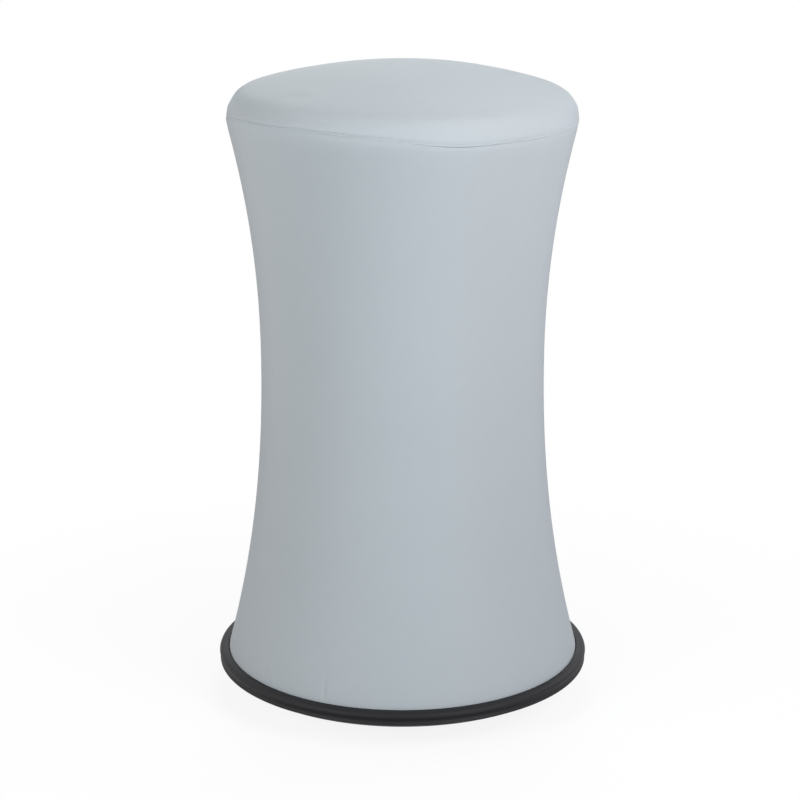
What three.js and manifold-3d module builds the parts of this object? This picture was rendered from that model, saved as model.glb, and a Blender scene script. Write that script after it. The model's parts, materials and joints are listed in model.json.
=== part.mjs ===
// Wobble stool: a domed seat on a gas lift, a convex weighted base with a rubber tread ring, and a
// stretch sleeve between the two. Millimetres, +Z up, the origin on the floor under the middle.

import * as THREE from 'three';
import { mergeVertices } from 'three/addons/utils/BufferGeometryUtils.js';
import Module from 'manifold-3d';

const wasm = await Module();
wasm.setup();

// Fits shared by neighbouring pieces
const seatGap = 0.3;
const runningGap = 0.6;
const cutOverrun = 2;

// Outside shape: hem, waist, seam and crown
const hemRadius = 165.5;
const waistHeight = 318;
const waistRadius = 130.8;
const lowerFlarePower = 2.17;
const seamHeight = 544;
const seamInset = 5.8;
const upperFlarePower = 2.06;
const crownRise = 45.4;
const crownSlopeShare = 0.579;
const edgePower = 35;
const edgeSoftness = 1.43;

// Fabric
const fabricThickness = 2.2;
const seamCordRadius = 1.1;
const drawcordRadius = 1.1;
const hemRingThickness = 5.7;
const hemRingHeight = 9;

// Convex underside: a flat middle and an arc beyond it
const footFlatRadius = 60;
const undersideCurve = 275;
const soleRadius = 100;
const soleThickness = 4;
const soleStandout = 1;

// Tread ring, measured from the wall that the hem goes in behind
const rimWidth = 8.9;
const rimDrop = 4.4;
const treadRise = 18;
const treadReach = 24.1;
const treadEdgeInset = 3.1;
const treadThickness = 3;
const grooveDrop = 2.8;
const grooveWidth = 1.5;
const grooveDepth = 2.6;
// Across from the tread's edge to the rim, and up from that edge to the rim
const lowerBandShares = [[0.43, 0.19], [0.74, 0.42], [0.86, 0.64]];
// In from the rim to the flange's inner edge, and up from the rim to the flange
const flangeShares = [[0.1, 0.5], [0.36, 0.86]];

// Rocker shell
const shelfThickness = 2.8;
const railThickness = 4;
const railHeight = 8.5;
const shellFloorLift = 9;
const hubRadius = 60;
const hubHeight = 16;
const ribThickness = 5;
const ribDrop = 3;

// Ballast
const ballastInnerRadius = 64;
const ballastRailGap = 12.7;
const ballastEdgeHeight = 8.7;
const ballastScrewInset = 28;
const ballastScrewRadius = 3;
const ballastHeadRadius = 6;
const ballastHeadHeight = 4;
const ballastScrewBite = 5;

// Column socket and its bolts
const socketRadius = 57;
const socketFlange = 6;
const socketTubeHeight = 62;
const socketWall = 5;
const socketFillet = 4;
const socketHoleRadius = 20;
const boltCircle = 45;
const boltRadius = 4;
const boltHeadRadius = 6.5;
const boltHeadHeight = 5;
const boltBite = 9;
const holeClearance = 0.4;

// Gas lift, fixed half
const columnRadius = 25;
const columnFootRadius = 23.6;
const columnTaperHeight = 56;
const columnWall = 1.6;
const columnPlate = 3;
const columnFootClearance = 4;
const bushLength = 90;
const bushLip = 3;
const bushParkGap = 30;

// Gas lift, turning half
const stroke = 200;
const rodRadius = 5;
const rodNeckRadius = 4;
const rodFootLength = 5.5;
const rodCollarRadius = 8;
const rodCollarHeight = 3;
const rodTipLength = 0.5;
const plateHoleRadius = 6.5;
const clipRadius = 9;
const clipThickness = 2.3;
const clipOffset = 0.4;
const raceRadius = 15;
const raceThickness = 2;
const ballRadius = 2;
const ballCount = 8;
const ballCircle = 10.5;
const cageWidthShare = 0.55;
const cageThicknessShare = 0.6;
const bufferRadius = 12;
const bufferHeight = 20;
const pistonHeight = 18;
const pistonNutRadius = 7;
const pistonNutHeight = 4;
const strokeStopGap = 1;

// Gas lift, sliding tube
const tubeRadius = 14;
const tubeTopRadius = 13.2;
const tubeWall = 1.5;
const tubeLip = 2;
const tubeLipRadius = 10;
const tubeTaperHeight = 46;
const tubeHeadThickness = 38;
const tubeStandout = 5;
const glandHeight = 20;

// Seat board, plate and housing
const boardInset = 6.7;
const boardThickness = 15;
const boardRise = 5.6;
const plateSize = 160;
const plateCornerRadius = 12;
const plateThickness = 3;
const plateScrewSpacing = 124;
const plateScrewRadius = 3;
const plateHeadRadius = 5.5;
const plateHeadHeight = 3.5;
const teeNutFlangeRadius = 9;
const teeNutFlange = 1.2;
const teeNutWall = 1;
const teeNutLength = 12;
const housingLength = 124;
const housingWidth = 60;
const housingDepth = 20;
const housingWall = 3;
const housingHubRadius = 18;
const housingHubHeight = 34;

// Release lever, its pin and the valve pin
const pivotReach = 38;
const pivotPinRadius = 2;
const pivotBossRadius = 4.5;
const earLength = 14;
const earWall = 3;
const leverWidth = 12;
const leverThickness = 4;
// Places along the lever's middle line, out from the pivot and up from it
const leverTip = [-45, 3.5];
const leverKnee = [-20, 3.5];
const leverBend = [14, -1];
const leverDropDepth = -8;
const leverEndDepth = -10;
const leverDropClearance = 4;
const paddleLength = 50;
const paddleWidth = 26;
const paddleThickness = 9;
const paddleCornerRadius = 8;
const paddleWrapShare = 0.8;
const paddleClearance = 5;
const valvePinRadius = 4;
const valvePinTipRadius = 2.4;
const valvePinDomeHeight = 1.2;
const valvePinGap = 0.4;
const valvePinLength = 36;

// Facets
const bodySides = 40;
const bodyRows = 11;
const shaftSides = 24;
const screwSides = 12;
const hexSides = 6;
const ballRings = 4;

// Radii in the base, from the hem inwards and outwards
const sleeveInnerRadius = hemRadius - fabricThickness;
const hemRingOuterRadius = sleeveInnerRadius - seatGap;
const railRadius = hemRingOuterRadius - hemRingThickness - runningGap;
const treadWallRadius = hemRadius + runningGap;
const rimRadius = treadWallRadius + rimWidth;
const treadEdgeRadius = treadWallRadius - treadEdgeInset;
const treadInnerRadius = treadWallRadius - treadReach;
const shellRadius = treadWallRadius - seatGap;
const ballastOuterRadius = railRadius - railThickness - ballastRailGap;
const ballastScrewCircle = ballastOuterRadius - ballastScrewInset;

// Heights in the base that follow the convex underside
const hemHeight = undersideHeight(treadEdgeRadius, 0) + treadRise;
const shelfHeight = undersideHeight(shellRadius, treadThickness + seatGap) + shelfThickness;
const ballastTop = undersideHeight(ballastOuterRadius, shellFloorLift) + ballastEdgeHeight;
const ribHeight = ballastTop - ribDrop;

// Heights in the middle of the base, each stacked on the one below
const socketLevel = hubHeight + seatGap;
const columnLevel = socketLevel + socketFlange + columnFootClearance;
const lowerRaceLevel = columnLevel + columnPlate + seatGap;
const cageLevel = lowerRaceLevel + raceThickness + seatGap;
const upperRaceLevel = cageLevel + 2 * ballRadius + seatGap;
const collarLevel = upperRaceLevel + raceThickness + seatGap;
const bufferLevel = collarLevel + rodCollarHeight + seatGap;
const tubeLevel = bufferLevel + bufferHeight + seatGap;
const glandLevel = tubeLevel + tubeLip + seatGap;
const pistonLevel = glandLevel + glandHeight + stroke + strokeStopGap;
const pistonNutLevel = pistonLevel + pistonHeight + seatGap;

// Heights in the seat, each stacked down from the seam
const coverLevel = seamHeight + seamCordRadius + seatGap;
const boardLevel = seamHeight + boardRise - boardThickness;
const plateLevel = boardLevel - seatGap - plateThickness;
const housingTop = plateLevel - seatGap;
const housingFloor = housingTop - housingDepth;
const hubFoot = housingFloor - housingWall - housingHubHeight;
const tubeTop = housingFloor + tubeStandout;
const pivotLevel = housingTop - leverThickness / 2 - leverTip[1];
const columnTop = hubFoot - bushParkGap - bushLip - seatGap;

// Seam, board and lever, in from the hem and inside the sleeve
const seamRadius = hemRadius - seamInset;
const boardRadius = seamRadius - boardInset;
const leverRoom = sleeveRadius(pivotLevel + leverEndDepth) - fabricThickness - paddleClearance;
const leverDrop = [housingLength / 2 - pivotReach + leverDropClearance, leverDropDepth];
const leverEnd = [leverRoom - paddleLength * (1 - paddleWrapShare) - pivotReach, leverEndDepth];

const fabric = new THREE.MeshStandardMaterial({ color: 0xb9c3c7, roughness: 0.85, metalness: 0 });
const foam = new THREE.MeshStandardMaterial({ color: 0xe6dfc8, roughness: 0.95, metalness: 0 });
const rubber = new THREE.MeshStandardMaterial({ color: 0x2b2b2f, roughness: 0.7, metalness: 0 });
const moulding = new THREE.MeshStandardMaterial({ color: 0x3a3b3d, roughness: 0.6, metalness: 0 });
const acetal = new THREE.MeshStandardMaterial({ color: 0xe4e4df, roughness: 0.4, metalness: 0 });
const castIron = new THREE.MeshStandardMaterial({ color: 0x4a4b4c, roughness: 0.7, metalness: 0.8 });
const blackSteel = new THREE.MeshStandardMaterial({ color: 0x1c1c1e, roughness: 0.45, metalness: 0.2 });
const brightSteel = new THREE.MeshStandardMaterial({ color: 0xb8babc, roughness: 0.3, metalness: 1 });
const plywood = new THREE.MeshStandardMaterial({ color: 0xc9a878, roughness: 0.7, metalness: 0 });

// Height of the underside at a radius, a lift above the surface that touches the floor
function undersideHeight(radius, lift) {
  const beyondFlat = Math.max(radius - footFlatRadius, 0);
  const curve = undersideCurve - lift;
  return undersideCurve - Math.sqrt(curve * curve - beyondFlat * beyondFlat);
}

function undersideRun(fromRadius, toRadius, lift, steps) {
  const points = [];
  for (let i = 0; i <= steps; i += 1) {
    const radius = fromRadius + (toRadius - fromRadius) * i / steps;
    points.push([radius, undersideHeight(radius, lift)]);
  }
  return points;
}

// Outline of the sleeve: it flares from the waist to the hem and to the seam
function sleeveRadius(height) {
  const below = height < waistHeight;
  const endHeight = below ? hemHeight : seamHeight;
  const endRadius = below ? hemRadius : seamRadius;
  const power = below ? lowerFlarePower : upperFlarePower;
  const share = (height - waistHeight) / (endHeight - waistHeight);
  return waistRadius + (endRadius - waistRadius) * share ** power;
}

// Outline of the crown from its edge to the axis: a parabola with a rolled edge
function crownOutline(steps) {
  const points = [];
  for (let i = steps; i > 0; i -= 1) {
    const share = Math.sin(i / steps * Math.PI / 2);
    const edge = Math.max(1 - share ** edgePower, 0) ** edgeSoftness;
    const rise = (1 - crownSlopeShare) * edge + crownSlopeShare * (1 - share * share);
    points.push([seamRadius * share, coverLevel + crownRise * rise]);
  }
  points.push([0, coverLevel + crownRise]);
  return points;
}

// The same outline moved inwards, square to itself
function inset(points, depth) {
  return points.map(([radius, height], i) => {
    if (radius === 0) return [0, height - depth];
    const before = points[Math.max(i - 1, 0)];
    const after = points[Math.min(i + 1, points.length - 1)];
    const run = Math.hypot(after[0] - before[0], after[1] - before[1]);
    const inward = depth * (after[1] - before[1]) / run;
    const down = depth * (before[0] - after[0]) / run;
    return [radius - inward, height - down];
  });
}

function radiusAtHeight(points, height) {
  const i = points.findIndex((point) => point[1] > height);
  const [lowRadius, low] = points[i - 1];
  const [highRadius, high] = points[i];
  return lowRadius + (highRadius - lowRadius) * (height - low) / (high - low);
}

// A body of revolution about Z. The outline runs anticlockwise, radius across and height up, and
// closes on itself unless it starts and ends on the axis.
function turned(outline, sides) {
  const points = outline.map(([radius, height]) => new THREE.Vector2(radius, height));
  if (outline[0][0] > 0) points.push(points[0].clone());
  return new THREE.LatheGeometry(points, sides).rotateX(Math.PI / 2);
}

function cylinder(radius, height, sides) {
  return turned([[0, 0], [radius, 0], [radius, height], [0, height]], sides);
}

function roundedRectangle(length, width, radius) {
  const x = length / 2;
  const y = width / 2;
  const shape = new THREE.Shape();
  shape.absarc(x - radius, y - radius, radius, 0, Math.PI / 2);
  shape.absarc(radius - x, y - radius, radius, Math.PI / 2, Math.PI);
  shape.absarc(radius - x, radius - y, radius, Math.PI, 3 * Math.PI / 2);
  shape.absarc(x - radius, radius - y, radius, 3 * Math.PI / 2, 2 * Math.PI);
  shape.closePath();
  return shape;
}

function extruded(shape, depth, curveSegments = 4) {
  return new THREE.ExtrudeGeometry(shape, { depth, bevelEnabled: false, curveSegments });
}

// Geometry to solid and back, for joins and cuts
function toSolid(geometry) {
  const plain = geometry.clone();
  plain.deleteAttribute('normal');
  plain.deleteAttribute('uv');
  const merged = mergeVertices(plain, 1e-4);
  const triVerts = [];
  const index = merged.index.array;
  for (let i = 0; i < index.length; i += 3) {
    const [a, b, c] = [index[i], index[i + 1], index[i + 2]];
    if (a !== b && b !== c && c !== a) triVerts.push(a, b, c);
  }
  return new wasm.Manifold(new wasm.Mesh({
    numProp: 3,
    vertProperties: new Float32Array(merged.attributes.position.array),
    triVerts: new Uint32Array(triVerts),
  }));
}

function toGeometry(solid) {
  const { vertProperties, triVerts } = solid.getMesh();
  const geometry = new THREE.BufferGeometry();
  geometry.setAttribute('position', new THREE.BufferAttribute(vertProperties, 3));
  geometry.setIndex(new THREE.BufferAttribute(triVerts, 1));
  return geometry;
}

function piece(name, geometry, material) {
  const mesh = new THREE.Mesh(geometry, material);
  mesh.name = name;
  return mesh;
}

function at(object, x, y, z) {
  object.position.set(x, y, z);
  return object;
}

function quarterPlaces(circle) {
  return [0, 1, 2, 3].map((i) => {
    const turn = i * Math.PI / 2;
    return [circle * Math.cos(turn), circle * Math.sin(turn)];
  });
}

function cornerPlaces(spacing) {
  const half = spacing / 2;
  return [[half, half], [-half, half], [-half, -half], [half, -half]];
}

// A hexagon head that stands on the origin with its shank below
function hexScrew(name, shankRadius, shankLength, headRadius, headHeight) {
  const shank = toSolid(cylinder(shankRadius, shankLength + headHeight / 2, screwSides)
    .translate(0, 0, -shankLength));
  const head = toSolid(cylinder(headRadius, headHeight, hexSides));
  return piece(name, toGeometry(head.add(shank)), brightSteel);
}

// Base

function solePad() {
  const outline = [[0, 0], ...undersideRun(footFlatRadius, soleRadius, 0, 4)];
  const top = undersideRun(soleRadius, footFlatRadius, soleThickness, 4);
  return piece('sole_pad', turned([...outline, ...top, [0, soleThickness]], bodySides), rubber);
}

function treadRing() {
  const rimHeight = hemHeight - rimDrop;
  const edgeHeight = undersideHeight(treadEdgeRadius, 0);
  const band = lowerBandShares.map(([across, up]) => [
    treadEdgeRadius + (rimRadius - treadEdgeRadius) * across,
    edgeHeight + (rimHeight - edgeHeight) * up,
  ]);
  const grooveRadius = rimRadius - grooveDepth;
  const groove = [
    [grooveRadius, rimHeight - grooveDrop - grooveWidth],
    [grooveRadius, rimHeight - grooveDrop],
    [rimRadius - grooveWidth / 2, rimHeight - grooveWidth],
  ];
  const flange = flangeShares.map(([across, up]) => [
    rimRadius - (rimRadius - treadWallRadius) * across,
    rimHeight + rimDrop * up,
  ]);
  const outline = [
    ...undersideRun(treadInnerRadius, treadEdgeRadius, 0, 3),
    ...band,
    ...groove,
    [rimRadius, rimHeight],
    ...flange,
    [treadWallRadius, hemHeight],
    ...undersideRun(treadWallRadius, treadInnerRadius, treadThickness, 3),
  ];
  return piece('tread_ring', turned(outline, bodySides), rubber);
}

function rockerShell() {
  const pocketRadius = soleRadius + seatGap;
  const flangeRadius = treadInnerRadius - seatGap;
  const railInnerRadius = railRadius - railThickness;
  const outline = [
    [0, soleThickness + seatGap],
    ...undersideRun(footFlatRadius, pocketRadius, soleThickness + seatGap, 3),
    ...undersideRun(pocketRadius, flangeRadius, soleStandout, 3),
    ...undersideRun(flangeRadius, shellRadius, treadThickness + seatGap, 3),
    [shellRadius, shelfHeight],
    [railRadius, shelfHeight],
    [railRadius, shelfHeight + railHeight],
    [railInnerRadius, shelfHeight + railHeight],
    ...undersideRun(railInnerRadius, hubRadius, shellFloorLift, 5),
    [hubRadius, hubHeight],
    [0, hubHeight],
  ];
  let shell = toSolid(turned(outline, bodySides));
  const ribLength = railRadius - railThickness / 2 - hubRadius / 2;
  const ribFoot = undersideHeight(hubRadius, shellFloorLift) - cutOverrun;
  const ribBlock = toSolid(new THREE.BoxGeometry(ribLength, ribThickness, ribHeight - ribFoot)
    .translate(hubRadius / 2 + ribLength / 2, 0, ribFoot + (ribHeight - ribFoot) / 2));
  const hubSpace = toSolid(cylinder(hubRadius, ribHeight + cutOverrun, bodySides)
    .translate(0, 0, hubHeight));
  const dish = toSolid(turned([
    [0, soleThickness + seatGap],
    ...undersideRun(footFlatRadius, railRadius - railThickness / 2, shellFloorLift - cutOverrun, 6),
    [railRadius - railThickness / 2, ribHeight],
    [0, ribHeight],
  ], bodySides));
  for (let i = 0; i < 4; i += 1) {
    const rib = ribBlock.rotate([0, 0, 45 + 90 * i]).intersect(dish).subtract(hubSpace);
    shell = shell.add(rib);
  }
  const screwFloor = undersideHeight(ballastScrewCircle, shellFloorLift);
  const screwHole = cylinder(ballastScrewRadius + holeClearance, ballastScrewBite + cutOverrun, screwSides);
  for (const [x, y] of quarterPlaces(ballastScrewCircle)) {
    shell = shell.subtract(toSolid(screwHole.clone().translate(x, y, screwFloor - ballastScrewBite)));
  }
  const boltHole = cylinder(boltRadius + holeClearance, boltBite + cutOverrun, screwSides);
  for (const [x, y] of quarterPlaces(boltCircle)) {
    shell = shell.subtract(toSolid(boltHole.clone().translate(x, y, hubHeight - boltBite)));
  }
  return piece('rocker_shell', toGeometry(shell), moulding);
}

// One of four weights that fill the dish between its ribs
function ballastWeight(number) {
  const ring = toSolid(turned([
    ...undersideRun(ballastInnerRadius, ballastOuterRadius, shellFloorLift + seatGap, 5),
    [ballastOuterRadius, ballastTop],
    [ballastInnerRadius, ballastTop],
  ], bodySides));
  const apex = (ribThickness / 2 + runningGap) * Math.SQRT2;
  const reach = ballastOuterRadius + cutOverrun;
  const wedgeShape = new THREE.Shape([
    new THREE.Vector2(apex, 0),
    new THREE.Vector2(apex + reach, -reach),
    new THREE.Vector2(apex + reach, reach),
  ]);
  const wedge = toSolid(extruded(wedgeShape, ballastTop + cutOverrun));
  const hole = toSolid(cylinder(ballastScrewRadius + holeClearance, ballastTop + cutOverrun, screwSides)
    .translate(ballastScrewCircle, 0, 0));
  const sector = ring.intersect(wedge).subtract(hole);
  const weight = piece(`ballast_weight_${number}`, toGeometry(sector), castIron);
  weight.rotation.z = (number - 1) * Math.PI / 2;
  return weight;
}

function ballastScrews() {
  const level = ballastTop + seatGap;
  const foot = undersideHeight(ballastScrewCircle, shellFloorLift) - ballastScrewBite + seatGap;
  return quarterPlaces(ballastScrewCircle).map(([x, y], i) => {
    const name = `ballast_screw_${i + 1}`;
    const screw = hexScrew(name, ballastScrewRadius, level - foot, ballastHeadRadius, ballastHeadHeight);
    return at(screw, x, y, level);
  });
}

// Outer radius of the tapered column, a height above its foot
function columnTaper(height) {
  const share = Math.min(height / columnTaperHeight, 1);
  return columnFootRadius + (columnRadius - columnFootRadius) * share;
}

function columnSocket() {
  const top = socketFlange + socketTubeHeight;
  const step = columnLevel - socketLevel - seatGap;
  const boreTop = columnTaper(top + socketLevel - columnLevel) + seatGap;
  const boreTaperTop = columnTaperHeight + columnLevel - socketLevel;
  const outline = [
    [socketHoleRadius, 0],
    [socketRadius, 0],
    [socketRadius, socketFlange],
    [boreTop + socketWall + socketFillet, socketFlange],
    [boreTop + socketWall, socketFlange + socketFillet],
    [boreTop + socketWall, top],
    [boreTop, top],
    [columnRadius + seatGap, boreTaperTop],
    [columnFootRadius + seatGap, step],
    [socketHoleRadius, step],
  ];
  let socket = toSolid(turned(outline, shaftSides));
  const hole = cylinder(boltRadius + holeClearance, socketFlange + 2 * cutOverrun, screwSides);
  for (const [x, y] of quarterPlaces(boltCircle)) {
    socket = socket.subtract(toSolid(hole.clone().translate(x, y, -cutOverrun)));
  }
  return at(piece('column_socket', toGeometry(socket), blackSteel), 0, 0, socketLevel);
}

function socketBolts() {
  const level = socketLevel + socketFlange + seatGap;
  const length = level - hubHeight + boltBite - seatGap;
  return quarterPlaces(boltCircle).map(([x, y], i) => at(
    hexScrew(`socket_bolt_${i + 1}`, boltRadius, length, boltHeadRadius, boltHeadHeight),
    x, y, level,
  ));
}

function columnTube() {
  const height = columnTop - columnLevel;
  const outline = [
    [plateHoleRadius, 0],
    [columnFootRadius, 0],
    [columnRadius, columnTaperHeight],
    [columnRadius, height],
    [columnRadius - columnWall, height],
    [columnRadius - columnWall, columnTaperHeight],
    [columnFootRadius - columnWall, columnPlate],
    [plateHoleRadius, columnPlate],
  ];
  return at(piece('column_tube', turned(outline, shaftSides), blackSteel), 0, 0, columnLevel);
}

function guideBush() {
  const outline = [
    [tubeRadius + seatGap, -bushLength],
    [columnRadius - columnWall - seatGap, -bushLength],
    [columnRadius - columnWall - seatGap, 0],
    [columnRadius, 0],
    [columnRadius, bushLip],
    [tubeRadius + seatGap, bushLip],
  ];
  return at(piece('guide_bush', turned(outline, shaftSides), acetal), 0, 0, columnTop + seatGap);
}

function bearingRace(name, boreRadius, level) {
  const outline = [
    [boreRadius, 0],
    [raceRadius, 0],
    [raceRadius, raceThickness],
    [boreRadius, raceThickness],
  ];
  return at(piece(name, turned(outline, shaftSides), brightSteel), 0, 0, level);
}

// Turning half of the lift

function ballCage() {
  const halfWidth = ballRadius * (1 + cageWidthShare);
  const halfThickness = ballRadius * cageThicknessShare;
  let cage = toSolid(turned([
    [ballCircle - halfWidth, -halfThickness],
    [ballCircle + halfWidth, -halfThickness],
    [ballCircle + halfWidth, halfThickness],
    [ballCircle - halfWidth, halfThickness],
  ], shaftSides));
  for (let i = 0; i < ballCount; i += 1) {
    const turn = i * 2 * Math.PI / ballCount;
    const ball = new THREE.SphereGeometry(ballRadius, hexSides, ballRings).rotateX(Math.PI / 2)
      .translate(ballCircle * Math.cos(turn), ballCircle * Math.sin(turn), 0);
    cage = cage.add(toSolid(ball));
  }
  return at(piece('ball_cage', toGeometry(cage), brightSteel), 0, 0, cageLevel + ballRadius);
}

function pistonRod() {
  const foot = columnLevel - rodFootLength;
  const grooveTop = columnLevel - clipOffset / 2;
  const grooveFoot = grooveTop - clipThickness - clipOffset;
  const shoulder = pistonLevel - seatGap;
  const outline = [
    [0, foot],
    [rodRadius, foot],
    [rodRadius, grooveFoot],
    [rodNeckRadius, grooveFoot],
    [rodNeckRadius, grooveTop],
    [rodRadius, grooveTop],
    [rodRadius, collarLevel],
    [rodCollarRadius, collarLevel],
    [rodCollarRadius, collarLevel + rodCollarHeight],
    [rodRadius, collarLevel + rodCollarHeight],
    [rodRadius, shoulder],
    [rodNeckRadius, shoulder],
    [rodNeckRadius, pistonNutLevel + pistonNutHeight + rodTipLength],
    [0, pistonNutLevel + pistonNutHeight + rodTipLength],
  ];
  return piece('piston_rod', turned(outline, shaftSides), brightSteel);
}

function rodClip() {
  const outline = [
    [rodNeckRadius + seatGap, 0],
    [clipRadius, 0],
    [clipRadius, clipThickness],
    [rodNeckRadius + seatGap, clipThickness],
  ];
  const level = columnLevel - clipOffset - clipThickness;
  return at(piece('rod_clip', turned(outline, shaftSides), brightSteel), 0, 0, level);
}

function rubberBuffer() {
  const outline = [
    [rodRadius + seatGap, 0],
    [bufferRadius, 0],
    [bufferRadius, bufferHeight],
    [rodRadius + seatGap, bufferHeight],
  ];
  return at(piece('rubber_buffer', turned(outline, shaftSides), rubber), 0, 0, bufferLevel);
}

function piston() {
  const outline = [
    [rodNeckRadius + seatGap, 0],
    [tubeRadius - tubeWall - seatGap, 0],
    [tubeRadius - tubeWall - seatGap, pistonHeight],
    [rodNeckRadius + seatGap, pistonHeight],
  ];
  return at(piece('piston', turned(outline, shaftSides), acetal), 0, 0, pistonLevel);
}

function pistonNut() {
  const bore = toSolid(cylinder(rodNeckRadius + seatGap, pistonNutHeight + 2 * cutOverrun, shaftSides)
    .translate(0, 0, -cutOverrun));
  const nut = toSolid(cylinder(pistonNutRadius, pistonNutHeight, hexSides)).subtract(bore);
  return at(piece('piston_nut', toGeometry(nut), brightSteel), 0, 0, pistonNutLevel);
}

function hemRing() {
  const inner = hemRingOuterRadius - hemRingThickness;
  const outline = [
    [inner, 0],
    [hemRingOuterRadius, 0],
    [hemRingOuterRadius, hemRingHeight],
    [inner, hemRingHeight],
  ];
  return at(piece('hem_ring', turned(outline, bodySides), acetal), 0, 0, shelfHeight + seatGap);
}

function cordRing(name, circle, radius, level, material) {
  const outline = [];
  for (let i = 0; i < hexSides; i += 1) {
    const turn = i * 2 * Math.PI / hexSides;
    outline.push([circle + radius * Math.cos(turn), radius * Math.sin(turn)]);
  }
  return at(piece(name, turned(outline, bodySides), material), 0, 0, level);
}

function hemDrawcord() {
  const circle = hemRingOuterRadius + seatGap + drawcordRadius;
  return cordRing('hem_drawcord', circle, drawcordRadius, shelfHeight + seatGap + drawcordRadius, acetal);
}

function sleeve() {
  const foot = shelfHeight + 2 * seatGap + 2 * drawcordRadius;
  const head = seamHeight - seamCordRadius - seatGap;
  const outside = [[hemRadius, foot]];
  for (let i = 0; i <= bodyRows; i += 1) {
    const height = hemHeight + (head - hemHeight) * i / bodyRows;
    outside.push([sleeveRadius(height), height]);
  }
  const inside = outside.map(([radius, height]) => [radius - fabricThickness, height]).reverse();
  return piece('sleeve', turned([...outside, ...inside], bodySides), fabric);
}

// Seat

function tubeProfileRadius(heightBelowTop) {
  const share = Math.min(heightBelowTop / tubeTaperHeight, 1);
  return tubeTopRadius + (tubeRadius - tubeTopRadius) * share;
}

function pressureTube() {
  const inner = tubeRadius - tubeWall;
  const height = tubeTop - tubeLevel;
  const outline = [
    [tubeLipRadius, 0],
    [tubeRadius, 0],
    [tubeRadius, height - tubeTaperHeight],
    [tubeTopRadius, height],
    [valvePinRadius + seatGap, height],
    [valvePinRadius + seatGap, height - tubeHeadThickness],
    [inner - tubeWall, height - tubeHeadThickness],
    [inner, height - tubeTaperHeight],
    [inner, tubeLip],
    [tubeLipRadius, tubeLip],
  ];
  return at(piece('pressure_tube', turned(outline, shaftSides), brightSteel), 0, 0, tubeLevel);
}

function tubeGland() {
  const outer = tubeRadius - tubeWall - seatGap;
  const outline = [
    [rodRadius + seatGap, 0],
    [outer, 0],
    [outer, glandHeight],
    [rodRadius + seatGap, glandHeight],
  ];
  return at(piece('tube_gland', turned(outline, shaftSides), acetal), 0, 0, glandLevel);
}

// Steel channel welded under the seat plate, with the tapered hub below and the lever's ears inside
function liftHousing() {
  const wallHeight = housingDepth + housingWall;
  const wallOffset = housingWidth / 2 - housingWall / 2;
  const earOffset = leverWidth / 2 + seatGap + earWall / 2;
  const earHeight = pivotLevel + pivotBossRadius - housingFloor + housingWall;
  const block = (length, width, height) => new THREE.BoxGeometry(length, width, height)
    .translate(0, 0, height / 2 - housingWall);
  let housing = toSolid(block(housingLength, housingWidth, housingWall));
  for (const side of [-1, 1]) {
    housing = housing.add(toSolid(block(housingLength, housingWall, wallHeight)
      .translate(0, side * wallOffset, 0)));
    housing = housing.add(toSolid(block(earLength, earWall, earHeight)
      .translate(pivotReach, side * earOffset, 0)));
  }
  const hub = cylinder(housingHubRadius, housingHubHeight + housingWall / 2, shaftSides)
    .translate(0, 0, -housingHubHeight - housingWall);
  housing = housing.add(toSolid(hub));
  const below = housingHubHeight + housingWall + cutOverrun;
  const boreFoot = tubeProfileRadius(below + tubeStandout) + seatGap;
  const boreMouth = tubeProfileRadius(tubeStandout - cutOverrun) + seatGap;
  const boreOutline = [[0, -below], [boreFoot, -below], [boreMouth, cutOverrun], [0, cutOverrun]];
  housing = housing.subtract(toSolid(turned(boreOutline, shaftSides)));
  const pinHole = cylinder(pivotPinRadius + seatGap, 2 * earOffset + earWall + cutOverrun, screwSides)
    .translate(0, 0, -earOffset - earWall / 2 - cutOverrun / 2)
    .rotateX(Math.PI / 2)
    .translate(pivotReach, 0, pivotLevel - housingFloor);
  housing = housing.subtract(toSolid(pinHole));
  return at(piece('lift_housing', toGeometry(housing), blackSteel), 0, 0, housingFloor);
}

function leverPivotPin() {
  const length = leverWidth + 2 * seatGap + 2 * earWall + runningGap;
  const pin = cylinder(pivotPinRadius, length, screwSides)
    .translate(0, 0, -length / 2)
    .rotateX(Math.PI / 2);
  return at(piece('lever_pivot_pin', pin, brightSteel), pivotReach, 0, pivotLevel);
}

function seatPlate() {
  const shape = roundedRectangle(plateSize, plateSize, plateCornerRadius);
  for (const [x, y] of cornerPlaces(plateScrewSpacing)) {
    const hole = new THREE.Path();
    hole.absarc(x, y, plateScrewRadius + holeClearance, 0, 2 * Math.PI, true);
    shape.holes.push(hole);
  }
  return at(piece('seat_plate', extruded(shape, plateThickness), blackSteel), 0, 0, plateLevel);
}

function plateScrews() {
  const level = plateLevel - seatGap;
  const length = boardLevel + boardThickness - teeNutFlange - level;
  return cornerPlaces(plateScrewSpacing).map(([x, y], i) => {
    const screw = hexScrew(
      `plate_screw_${i + 1}`, plateScrewRadius, length, plateHeadRadius, plateHeadHeight,
    );
    screw.rotation.x = Math.PI;
    return at(screw, x, y, level);
  });
}

function teeNuts() {
  const bore = plateScrewRadius + seatGap;
  const barrel = bore + teeNutWall;
  const outline = [
    [bore, 0],
    [barrel, 0],
    [barrel, teeNutLength - teeNutFlange],
    [teeNutFlangeRadius, teeNutLength - teeNutFlange],
    [teeNutFlangeRadius, teeNutLength],
    [bore, teeNutLength],
  ];
  const level = boardLevel + boardThickness - seatGap - teeNutLength;
  return cornerPlaces(plateScrewSpacing).map(([x, y], i) => at(
    piece(`tee_nut_${i + 1}`, turned(outline, screwSides), brightSteel), x, y, level,
  ));
}

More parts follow.
